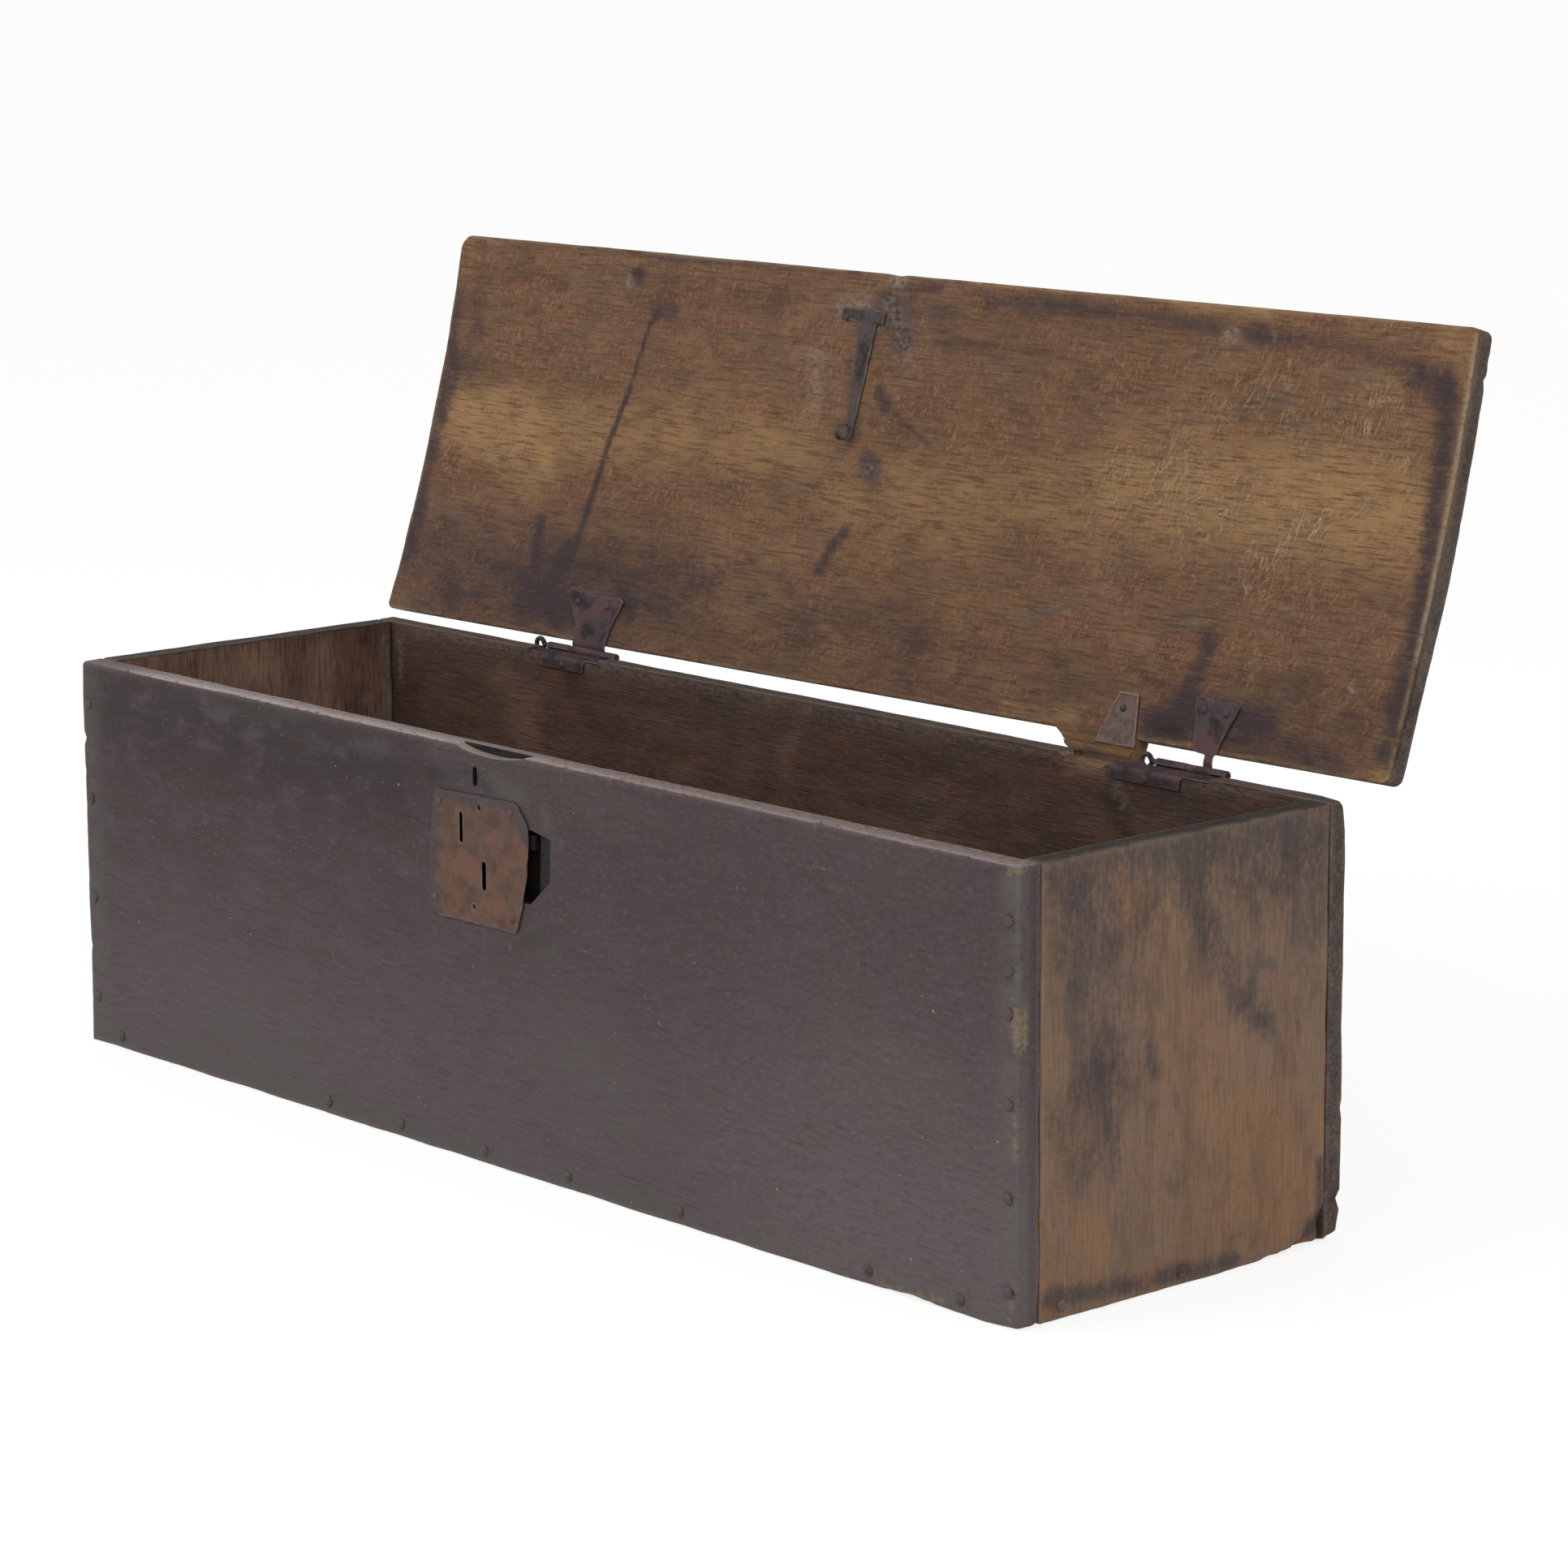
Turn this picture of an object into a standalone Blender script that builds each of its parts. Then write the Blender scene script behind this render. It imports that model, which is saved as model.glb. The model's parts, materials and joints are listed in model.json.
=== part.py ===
"""Six-plank chest: boards nailed edge to edge, a cupped lid on two pin hinges, and a plate lock.

Metres, +Z up. +X runs along the front to the right, +Y to the back. The origin is at the middle of the
underside. The lid is drawn closed, in coordinates measured from the hinge axis, and its empty turns it open.
"""
from collections import namedtuple
from math import asin, atan2, cos, pi, radians, sin, tan

import bmesh
import bpy
from mathutils import Euler, Matrix, Vector

# Clearance between pieces that touch, the rounding of edges, and how far cutting shapes reach past a piece.
CLEARANCE = 0.0003
BOARD_ROUNDING = 0.0015
IRON_ROUNDING = 0.0008
SPARE = 0.001
CUT_SPARE = 0.010
CUT_HEIGHT = 0.080

# The box.
CHEST_LENGTH = 1.250
CHEST_DEPTH = 0.368
CHEST_HEIGHT = 0.365
FRONT_THICKNESS = 0.024
BACK_THICKNESS = 0.0195
END_THICKNESS = 0.022
BOTTOM_THICKNESS = 0.024

# The lid. Its rear edge runs out of line with the hinge axis, so each end has its own distances.
LID_THICKNESS = 0.020
LID_CUP = 0.008
LID_OPEN_ANGLE = radians(106.2)
LID_OVERHANG_LEFT = 0.0235
LID_OVERHANG_RIGHT = 0.0295
LID_OVERHANG_FRONT_LEFT = 0.0095
LID_OVERHANG_FRONT_RIGHT = 0.0152
LID_REAR_LEFT = 0.0068
LID_REAR_RIGHT = 0.0167
LID_CORNER = 0.008
LID_WORN_CORNER = 0.015

# The hinges: pin, rolled knuckles and leaves.
PIN_RADIUS = 0.0020
KNUCKLE_WALL = 0.0017
KNUCKLE_STANDOFF = 0.0015
AXIS_DROP = 0.0010
LID_LEAF_THICKNESS = 0.0018
CHEST_LEAF_THICKNESS = 0.0020
LEAF_SPACE = 0.0007
LEAF_DROP = 0.0125
RING_RADIUS = 0.0052
RING_WIRE = 0.0018
PIN_TAIL = 0.002
LEAF_TACK_INSET = 0.012
DROP_TACK_SHARE = 0.4

# One hinge: where its knuckles start, as a share of the chest's half length, their widths, and the outlines
# of its two leaves.
Hinge = namedtuple("Hinge", "start first_knuckle lid_knuckle last_knuckle ring_offset flare_left flare_right "
                   "leaf_length plate_left drop_left drop_right")
LEFT_HINGE = Hinge(start=-0.624, first_knuckle=0.0315, lid_knuckle=0.047, last_knuckle=0.0205,
                   ring_offset=0.013, flare_left=0.027, flare_right=0.0105, leaf_length=0.058,
                   plate_left=0.0, drop_left=0.0205, drop_right=0.0174)
RIGHT_HINGE = Hinge(start=0.6544, first_knuckle=0.035, lid_knuckle=0.0275, last_knuckle=0.0175,
                    ring_offset=0.012, flare_left=0.0105, flare_right=0.012, leaf_length=0.062,
                    plate_left=0.029, drop_left=0.0, drop_right=0.0290)

# The repair at the right hinge: a block behind the lid's edge and a tapered strap, both left of the knuckles.
BLOCK_TO_HINGE = 0.124
BLOCK_LENGTH = 0.095
BLOCK_HEIGHT = 0.0155
BLOCK_HEEL = 0.0095
REPAIR_STRAP_THICKNESS = 0.0016
REPAIR_STRAP_TO_HINGE = 0.076
REPAIR_STRAP_WIDTH = 0.047
REPAIR_STRAP_END_WIDTH = 0.023
REPAIR_STRAP_LENGTH = 0.046
REPAIR_STRAP_LAP = 0.006
REPAIR_STRAP_ROOM = 0.007
REPAIR_TACK_SHARE = 0.7
BLOCK_CHAMFER = 0.4

# The hasp strap under the lid: a cross plate, a tapered tail and a curled end.
HASP_X = -0.050
HASP_THICKNESS = 0.0014
HASP_SETBACK = 0.033
HASP_PLATE_DEPTH = 0.014
HASP_PLATE_LEFT = 0.035
HASP_PLATE_RIGHT = 0.022
HASP_TAIL_LENGTH = 0.100
HASP_TAIL_WIDTH = 0.020
HASP_TIP_WIDTH = 0.008
HASP_CURL_RADIUS = 0.0048
HASP_CURL_TURN = radians(250)

# The lock plate on the front, and its two slots. Drops are measured from the front board's top edge.
LOCK_PLATE_THICKNESS = 0.002
LOCK_PLATE_LEFT = -0.0975
LOCK_PLATE_DROP = 0.0415
LOCK_PLATE_WIDTH = 0.121
LOCK_PLATE_HEIGHT = 0.1115
LOCK_PLATE_SHOULDER = 0.0095
LOCK_PLATE_TOP_WIDTH = 0.110
LOCK_PLATE_BULGE = 0.017
LOCK_PLATE_BULGE_HEIGHT = 0.092
LOCK_PLATE_BULGE_SHARE = 0.72
LOCK_PLATE_SKEW = 0.0015
LOCK_PLATE_ROUNDING = (0.003, 0.003, 0.020, 0.006, 0.006, 0.004)
LOCK_TACK_INSETS = ((0.0085, 0.0150), (-0.0060, 0.0115), (0.0080, -0.0105), (-0.0050, -0.0085))
STAPLE_SLOT_X = -0.051
STAPLE_SLOT_WIDTH = 0.0044
STAPLE_SLOT_HEIGHT = 0.0265
KEYHOLE_X = -0.0206
KEYHOLE_DROP = 0.110
KEYHOLE_WIDTH = 0.0055
KEYHOLE_HEIGHT = 0.025

# The lock's works, in a pocket behind the plate.
BOLT_DROP = 0.0717
BOLT_LENGTH = 0.085
BOLT_HEIGHT = 0.012
BOLT_THICKNESS = 0.004
BOLT_SETBACK = 0.0015
BOLT_WITHDRAWN = 0.009
BOLT_TALON_WIDTH = 0.011
BOLT_TALON_DEPTH = 0.004
GUIDE_WIDTH = 0.006
GUIDE_WALL = 0.0024
GUIDE_INSET = 0.007
GUIDE_SPACING = 0.044
SPRING_THICKNESS = 0.0009
SPRING_WIDTH = 0.004
SPRING_FOOT = 0.005
SPRING_FOOT_GAP = 0.004
SPRING_LENGTH = 0.024
SPRING_RISE = 0.0020
POCKET_DEPTH = 0.016
POCKET_LEFT = 0.080
POCKET_RIGHT = 0.069
POCKET_HEIGHT = 0.066
POCKET_SILL = 0.0225
POCKET_SILL_WIDTH = 0.030
POCKET_HEADROOM = 0.0015
POCKET_SLOPE = 0.006
POCKET_BREAK = 0.025

# Cuts in the front board's top: a scoop in its outer half, and an old slot above the lock.
SCOOP_LEFT = -0.062
SCOOP_LENGTH = 0.097
SCOOP_DEPTH = 0.0065
SCOOP_WIDTH = 0.012
OLD_SLOT_X = -0.033
OLD_SLOT_WIDTH = 0.006
OLD_SLOT_HEIGHT = 0.017
OLD_SLOT_TOP = 0.017
OLD_SLOT_DEPTH = 0.012

# Nails: board nails, and the smaller ones of the ironwork.
NAIL_LENGTH = 0.046
NAIL_SHANK = 0.0021
NAIL_HEAD = 0.0052
NAIL_HEAD_HEIGHT = 0.0024
TACK_LENGTH = 0.013
TACK_SHANK = 0.0013
TACK_HEAD = 0.0036
TACK_HEAD_HEIGHT = 0.0016
NAIL_POINT = 0.35
NAIL_RIM = 0.25

# Where the board nails sit, as shares of the chest's half length, of its height, and of its half depth.
FRONT_ROW = (-0.923, -0.403, -0.234, -0.046, 0.134, 0.366, 0.731, 0.899)
FRONT_RIGHT_COLUMN = (0.082, 0.285, 0.488, 0.682, 0.773, 0.882)
FRONT_LEFT_COLUMN = (0.123, 0.384, 0.644, 0.890)
BACK_COLUMN = (0.192, 0.795)
END_ROW = (-0.739, -0.016)

# What the sizes above fix.
FRONT_FACE = -CHEST_DEPTH / 2
BACK_FACE = CHEST_DEPTH / 2
FRONT_INSIDE = FRONT_FACE + FRONT_THICKNESS
BACK_INSIDE = BACK_FACE - BACK_THICKNESS
END_FACE = CHEST_LENGTH / 2
LOCK_PLATE_BOTTOM = CHEST_HEIGHT - LOCK_PLATE_DROP - LOCK_PLATE_HEIGHT
KEYHOLE_Z = CHEST_HEIGHT - KEYHOLE_DROP
BOLT_Z = CHEST_HEIGHT - BOLT_DROP
BLOCK_LEFT = RIGHT_HINGE.start * END_FACE - BLOCK_TO_HINGE
REPAIR_STRAP_LEFT = RIGHT_HINGE.start * END_FACE - REPAIR_STRAP_TO_HINGE
KNUCKLE_BORE = PIN_RADIUS + CLEARANCE
KNUCKLE_RADIUS = KNUCKLE_BORE + KNUCKLE_WALL
AXIS_Y = BACK_FACE + KNUCKLE_STANDOFF + KNUCKLE_RADIUS
AXIS_Z = CHEST_HEIGHT - AXIS_DROP
LID_UNDERSIDE = CHEST_HEIGHT + CLEARANCE - AXIS_Z
LID_LEFT = -END_FACE - LID_OVERHANG_LEFT
LID_RIGHT = END_FACE + LID_OVERHANG_RIGHT
LID_FRONT_LEFT = AXIS_Y - FRONT_FACE + LID_OVERHANG_FRONT_LEFT
LID_FRONT_RIGHT = AXIS_Y - FRONT_FACE + LID_OVERHANG_FRONT_RIGHT
LID_LEAF_TOP = LID_UNDERSIDE - CLEARANCE
CHEST_LEAF_TOP = LID_LEAF_TOP - LID_LEAF_THICKNESS - LEAF_SPACE
CHEST_LEAF_BOTTOM = CHEST_LEAF_TOP - CHEST_LEAF_THICKNESS
HINGE_RECESS = CHEST_LEAF_BOTTOM - CLEARANCE

# Where flat outlines are drawn: across the chest in (distance in front, height), on the front in (x, z), or in
# plan in (x, y).
ACROSS = Matrix(((0, 0, -1, 0), (-1, 0, 0, 0), (0, 1, 0, 0), (0, 0, 0, 1)))
ON_FRONT = Matrix(((1, 0, 0, 0), (0, 0, -1, 0), (0, 1, 0, 0), (0, 0, 0, 1)))
IN_PLAN = Matrix.Identity(4)

# Which way a nail's head looks.
FORWARD = Euler((pi / 2, 0, 0))
BACKWARD = Euler((-pi / 2, 0, 0))
RIGHTWARD = Euler((0, pi / 2, 0))
LEFTWARD = Euler((0, -pi / 2, 0))
DOWNWARD = Euler((pi, 0, 0))

Finish = namedtuple("Finish", "colour roughness metallic")
PAINTED_WOOD = Finish((0.080, 0.058, 0.060), 0.70, 0.0)
BARE_WOOD = Finish((0.150, 0.085, 0.045), 0.75, 0.0)
INNER_WOOD = Finish((0.115, 0.062, 0.035), 0.70, 0.0)
RAW_WOOD = Finish((0.330, 0.165, 0.070), 0.80, 0.0)
DARK_IRON = Finish((0.045, 0.036, 0.032), 0.65, 0.7)
RUSTY_IRON = Finish((0.150, 0.080, 0.048), 0.80, 0.4)


def clear_scene():
    """Take away every object of the scene that is open."""
    for thing in list(bpy.data.objects):
        bpy.data.objects.remove(thing, do_unlink=True)


def add_collection(name):
    """Add a collection to the scene."""
    collection = bpy.data.collections.new(name)
    bpy.context.scene.collection.children.link(collection)
    return collection


clear_scene()
PARTS = add_collection("six_plank_chest")
CUTTERS = add_collection("cutters")


def material_for(name, finish):
    """Make the material of one piece."""
    material = bpy.data.materials.new(name)
    material.use_nodes = True
    shader = material.node_tree.nodes["Principled BSDF"]
    shader.inputs["Base Color"].default_value = (*finish.colour, 1.0)
    shader.inputs["Roughness"].default_value = finish.roughness
    shader.inputs["Metallic"].default_value = finish.metallic
    material.diffuse_color = (*finish.colour, 1.0)
    return material


def add_part(name, mesh, finish, matrix=IN_PLAN, parent=None):
    """Put a mesh in the scene as a named piece of the chest."""
    part = bpy.data.objects.new(name, mesh)
    mesh.materials.clear()
    mesh.materials.append(material_for(name, finish))
    part.parent = parent
    part.matrix_local = matrix
    PARTS.objects.link(part)
    return part


def add_cutter(name, mesh, matrix=IN_PLAN, parent=None):
    """Put a mesh in the scene as a tool that only shapes other pieces."""
    cutter = bpy.data.objects.new(name, mesh)
    cutter.parent = parent
    cutter.matrix_local = matrix
    cutter.hide_render = True
    cutter.display_type = "WIRE"
    CUTTERS.objects.link(cutter)
    return cutter


def combine(part, cutter, operation="DIFFERENCE"):
    """Shape a piece with a cutter."""
    boolean = part.modifiers.new(cutter.name, "BOOLEAN")
    boolean.operation = operation
    boolean.solver = "EXACT"
    boolean.object = cutter


def round_edges(part, width, segments=2):
    """Round the sharp edges of a piece."""
    bevel = part.modifiers.new("rounded edges", "BEVEL")
    bevel.width = width
    bevel.segments = segments
    bevel.limit_method = "ANGLE"
    bevel.angle_limit = radians(40)


def add_axis(name, place):
    """Add the empty that a moving piece turns or slides on."""
    axis = bpy.data.objects.new(name, None)
    axis.location = place
    axis.empty_display_size = 0.05
    PARTS.objects.link(axis)
    return axis


def box_mesh(name, low, high):
    """Make a box about its own centre, and the matrix that places it between two corners."""
    size = Vector(high) - Vector(low)
    shape = bmesh.new()
    bmesh.ops.create_cube(shape, size=1.0, matrix=Matrix.Diagonal((*size, 1.0)))
    mesh = bpy.data.meshes.new(name)
    shape.to_mesh(mesh)
    shape.free()
    return mesh, Matrix.Translation((Vector(low) + Vector(high)) / 2)


def outline_mesh(name, points, thickness, holes=()):
    """Fill a flat outline, with any holes, and give it a thickness."""
    curve = bpy.data.curves.new(name, "CURVE")
    curve.dimensions = "2D"
    curve.fill_mode = "BOTH"
    curve.extrude = thickness / 2
    for loop in (points, *holes):
        spline = curve.splines.new("POLY")
        spline.points.add(len(loop) - 1)
        spline.use_cyclic_u = True
        for point, (across, up) in zip(spline.points, loop):
            point.co = (across, up, 0.0, 1.0)
    draft = bpy.data.objects.new(name, curve)
    CUTTERS.objects.link(draft)
    evaluated = draft.evaluated_get(bpy.context.evaluated_depsgraph_get())
    mesh = bpy.data.meshes.new_from_object(evaluated)
    bpy.data.objects.remove(draft, do_unlink=True)
    shape = bmesh.new()
    shape.from_mesh(mesh)
    bmesh.ops.remove_doubles(shape, verts=shape.verts, dist=0.00001)
    bmesh.ops.recalc_face_normals(shape, faces=shape.faces)
    shape.to_mesh(mesh)
    shape.free()
    return mesh


def arc(centre, radius, start, end, steps):
    """Points along an arc, both ends included."""
    turns = [start + (end - start) * step / steps for step in range(steps + 1)]
    return [(centre[0] + radius * cos(turn), centre[1] + radius * sin(turn)) for turn in turns]


def circle(radius, steps=16):
    """Points round a circle about the origin."""
    return arc((0.0, 0.0), radius, 0.0, 2 * pi * (steps - 1) / steps, steps - 1)


def rounded_outline(corners, radii, steps=4):
    """A convex outline with each corner rounded by its own radius."""
    points = []
    for index, corner in enumerate(corners):
        here = Vector(corner)
        before = (Vector(corners[index - 1]) - here).normalized()
        after = (Vector(corners[(index + 1) % len(corners)]) - here).normalized()
        half_angle = before.angle(after) / 2
        radius = radii[index]
        centre = here + (before + after).normalized() * radius / sin(half_angle)
        first = here + before * radius / tan(half_angle) - centre
        last = here + after * radius / tan(half_angle) - centre
        start = atan2(first.y, first.x)
        sweep = (atan2(last.y, last.x) - start + pi) % (2 * pi) - pi
        points += arc(centre, radius, start, start + sweep, steps)
    return points


def slot_outline(centre, width, height):
    """An upright slot with round ends."""
    reach = (height - width) / 2
    top = arc((centre[0], centre[1] + reach), width / 2, 0.0, pi, 6)
    foot = arc((centre[0], centre[1] - reach), width / 2, pi, 2 * pi, 6)
    return top + foot


def place_across(x, y=0.0, z=0.0):
    """Matrix for an outline drawn across the chest, extruded about one place along X."""
    return Matrix.Translation((x, y, z)) @ ACROSS


def place_on_front(y):
    """Matrix for an outline drawn on the front, extruded about one depth."""
    return Matrix.Translation((0.0, y, 0.0)) @ ON_FRONT


Nail = namedtuple("Nail", "name place facing length shank head height parent")
nails = []


def add_nail(name, place, facing, parent=None):
    """Note a board nail, to be made after the pieces that it goes through."""
    nail = Nail(name, Vector(place), facing, NAIL_LENGTH, NAIL_SHANK, NAIL_HEAD, NAIL_HEAD_HEIGHT,
                parent)
    nails.append(nail)
    return nail


def add_tack(name, place, facing, parent=None):
    """Note a small nail that holds ironwork."""
    tack = Nail(name, Vector(place), facing, TACK_LENGTH, TACK_SHANK, TACK_HEAD, TACK_HEAD_HEIGHT,
                parent)
    nails.append(tack)
    return tack


def nail_matrix(nail):
    """The nail's place, with its shank down its own -Z."""
    return Matrix.Translation(nail.place) @ nail.facing.to_matrix().to_4x4()


def drill(part, through):
    """Bore the holes of the nails that go through a piece."""
    shape = bmesh.new()
    for nail in through:
        reach = nail.length + 2 * CLEARANCE + nail.height
        middle = Matrix.Translation((0.0, 0.0, nail.height - reach / 2))
        bmesh.ops.create_cone(shape, cap_ends=True, segments=8, radius1=nail.shank * NAIL_POINT + CLEARANCE,
                              radius2=nail.shank + CLEARANCE, depth=reach, matrix=nail_matrix(nail) @ middle)
    mesh = bpy.data.meshes.new(part.name + "_nail_holes")
    shape.to_mesh(mesh)
    shape.free()
    combine(part, add_cutter(part.name + "_nail_holes", mesh, parent=through[0].parent))


def make_nails():
    """Make every nail: a forged head on a tapering shank, turned from one profile."""
    for nail in nails:
        profile = [(0.0, nail.height), (nail.head, nail.height * NAIL_RIM), (nail.shank, CLEARANCE),
                   (nail.shank * NAIL_POINT, -nail.length), (0.0, -nail.length)]
        mesh = bpy.data.meshes.new(nail.name)
        edges = [(step, step + 1) for step in range(len(profile) - 1)]
        mesh.from_pydata([(out, 0.0, up) for out, up in profile], edges, [])
        part = add_part(nail.name, mesh, DARK_IRON, nail_matrix(nail), nail.parent)
        screw = part.modifiers.new("turned", "SCREW")
        screw.steps = 8
        screw.render_steps = 8
        screw.use_merge_vertices = True
        screw.merge_threshold = 0.00005


def cup(distance):
    """How far the lid's underside rises above its rest, at a distance in front of the hinge axis."""
    rear = LID_REAR_LEFT
    front = AXIS_Y - FRONT_FACE
    reach = max(distance, rear)
    return 4 * LID_CUP * (reach - rear) * (front - reach) / (front - rear) ** 2


def along_lid(x, left, right):
    """Interpolate between the lid's left and right ends."""
    share = (x - LID_LEFT) / (LID_RIGHT - LID_LEFT)
    return left + (right - left) * share


def lid_sheet(near, far, top, thickness, steps):
    """Section of a sheet that follows the lid's hollow, from its near end round to its near end again."""
    reaches = [near + (far - near) * step / steps for step in range(steps + 1)]
    lower = [(reach, top - thickness + cup(reach)) for reach in reaches]
    upper = [(reach, top + cup(reach)) for reach in reversed(reaches)]
    return lower + upper


# The boards.
end_middle = END_FACE - END_THICKNESS / 2
floor_middle = BOTTOM_THICKNESS / 2
front_nails = [add_nail(f"front_nail_bottom_{count}", (share * END_FACE, FRONT_FACE, floor_middle), FORWARD)
               for count, share in enumerate(FRONT_ROW, 1)]
front_right_nails = [add_nail(f"front_nail_right_{count}",
                              (end_middle, FRONT_FACE, share * CHEST_HEIGHT), FORWARD)
                     for count, share in enumerate(FRONT_RIGHT_COLUMN, 1)]
front_left_nails = [add_nail(f"front_nail_left_{count}",
                             (-end_middle, FRONT_FACE, share * CHEST_HEIGHT), FORWARD)
                    for count, share in enumerate(FRONT_LEFT_COLUMN, 1)]
back_right_nails = [add_nail(f"back_nail_right_{count}",
                             (end_middle, BACK_FACE, share * CHEST_HEIGHT), BACKWARD)
                    for count, share in enumerate(BACK_COLUMN, 1)]
back_left_nails = [add_nail(f"back_nail_left_{count}",
                            (-end_middle, BACK_FACE, share * CHEST_HEIGHT), BACKWARD)
                   for count, share in enumerate(BACK_COLUMN, 1)]
right_end_nails = [add_nail(f"right_end_nail_{count}", (END_FACE, share * BACK_FACE, floor_middle), RIGHTWARD)
                   for count, share in enumerate(END_ROW, 1)]
left_end_nails = [add_nail(f"left_end_nail_{count}", (-END_FACE, share * BACK_FACE, floor_middle), LEFTWARD)
                  for count, share in enumerate(END_ROW, 1)]


def add_board(name, low, high, finish):
    """A plain board with softened edges."""
    mesh, place = box_mesh(name, low, high)
    board = add_part(name, mesh, finish, place)
    round_edges(board, BOARD_ROUNDING)
    return board


front_board = add_board("front_board", (-END_FACE, FRONT_FACE, 0.0),
                        (END_FACE, FRONT_INSIDE, CHEST_HEIGHT), PAINTED_WOOD)
back_board = add_board("back_board", (-END_FACE, BACK_INSIDE, 0.0),
                       (END_FACE, BACK_FACE, CHEST_HEIGHT), INNER_WOOD)
left_end_board = add_board("left_end_board", (-END_FACE, FRONT_INSIDE + CLEARANCE, 0.0),
                           (-END_FACE + END_THICKNESS, BACK_INSIDE - CLEARANCE, CHEST_HEIGHT), BARE_WOOD)
right_end_board = add_board("right_end_board", (END_FACE - END_THICKNESS, FRONT_INSIDE + CLEARANCE, 0.0),
                            (END_FACE, BACK_INSIDE - CLEARANCE, CHEST_HEIGHT), BARE_WOOD)
bottom_board = add_board("bottom_board",
                         (-END_FACE + END_THICKNESS + CLEARANCE, FRONT_INSIDE + CLEARANCE, 0.0),
                         (END_FACE - END_THICKNESS - CLEARANCE, BACK_INSIDE - CLEARANCE, BOTTOM_THICKNESS),
                         INNER_WOOD)
drill(left_end_board, front_left_nails + back_left_nails + left_end_nails)
drill(right_end_board, front_right_nails + back_right_nails + right_end_nails)
drill(bottom_board, front_nails + left_end_nails + right_end_nails)


# The lid board: a cupped section, trimmed to its plan.
lid_axis = add_axis("lid_axis", (0.0, AXIS_Y, AXIS_Z))
lid_corners = [(LID_LEFT, -LID_FRONT_LEFT), (LID_RIGHT, -LID_FRONT_RIGHT),
               (LID_RIGHT, -LID_REAR_RIGHT), (LID_LEFT, -LID_REAR_LEFT)]
lid_plan = rounded_outline(lid_corners, (LID_WORN_CORNER, LID_CORNER, LID_CORNER, LID_CORNER))
lid_section = lid_sheet(LID_REAR_LEFT - SPARE, LID_FRONT_RIGHT + SPARE, LID_UNDERSIDE + LID_THICKNESS,
                        LID_THICKNESS, 18)
lid_middle = (LID_LEFT + LID_RIGHT) / 2
lid_mesh = outline_mesh("lid_board", lid_section, LID_RIGHT - LID_LEFT + 2 * SPARE)
lid_board = add_part("lid_board", lid_mesh, INNER_WOOD, place_across(lid_middle), lid_axis)
lid_plan_mesh = outline_mesh("lid_plan", lid_plan, 6 * (LID_THICKNESS + LID_CUP))
lid_trim = add_cutter("lid_plan", lid_plan_mesh, IN_PLAN, lid_axis)
combine(lid_board, lid_trim, "INTERSECT")
round_edges(lid_board, BOARD_ROUNDING)


def knuckle_section(plate_bottom, plate_top, lower, upper):
    """Section of a leaf rolled round the pin: the knuckle, then the leaf's lower and upper lines."""
    high = asin(min(plate_top / KNUCKLE_RADIUS, 0.9))
    low = asin(max(plate_bottom / KNUCKLE_RADIUS, -0.9))
    return arc((0.0, 0.0), KNUCKLE_RADIUS, high, 2 * pi + low, 20) + lower + upper


def world_box(name, x_range, reach_range, height_range):
    """A cutter box in (x, distance in front of the axis, height above it), fixed to the chest."""
    low = (x_range[0], AXIS_Y - reach_range[1], AXIS_Z + height_range[0])
    high = (x_range[1], AXIS_Y - reach_range[0], AXIS_Z + height_range[1])
    return add_cutter(name, *box_mesh(name, low, high))


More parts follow.
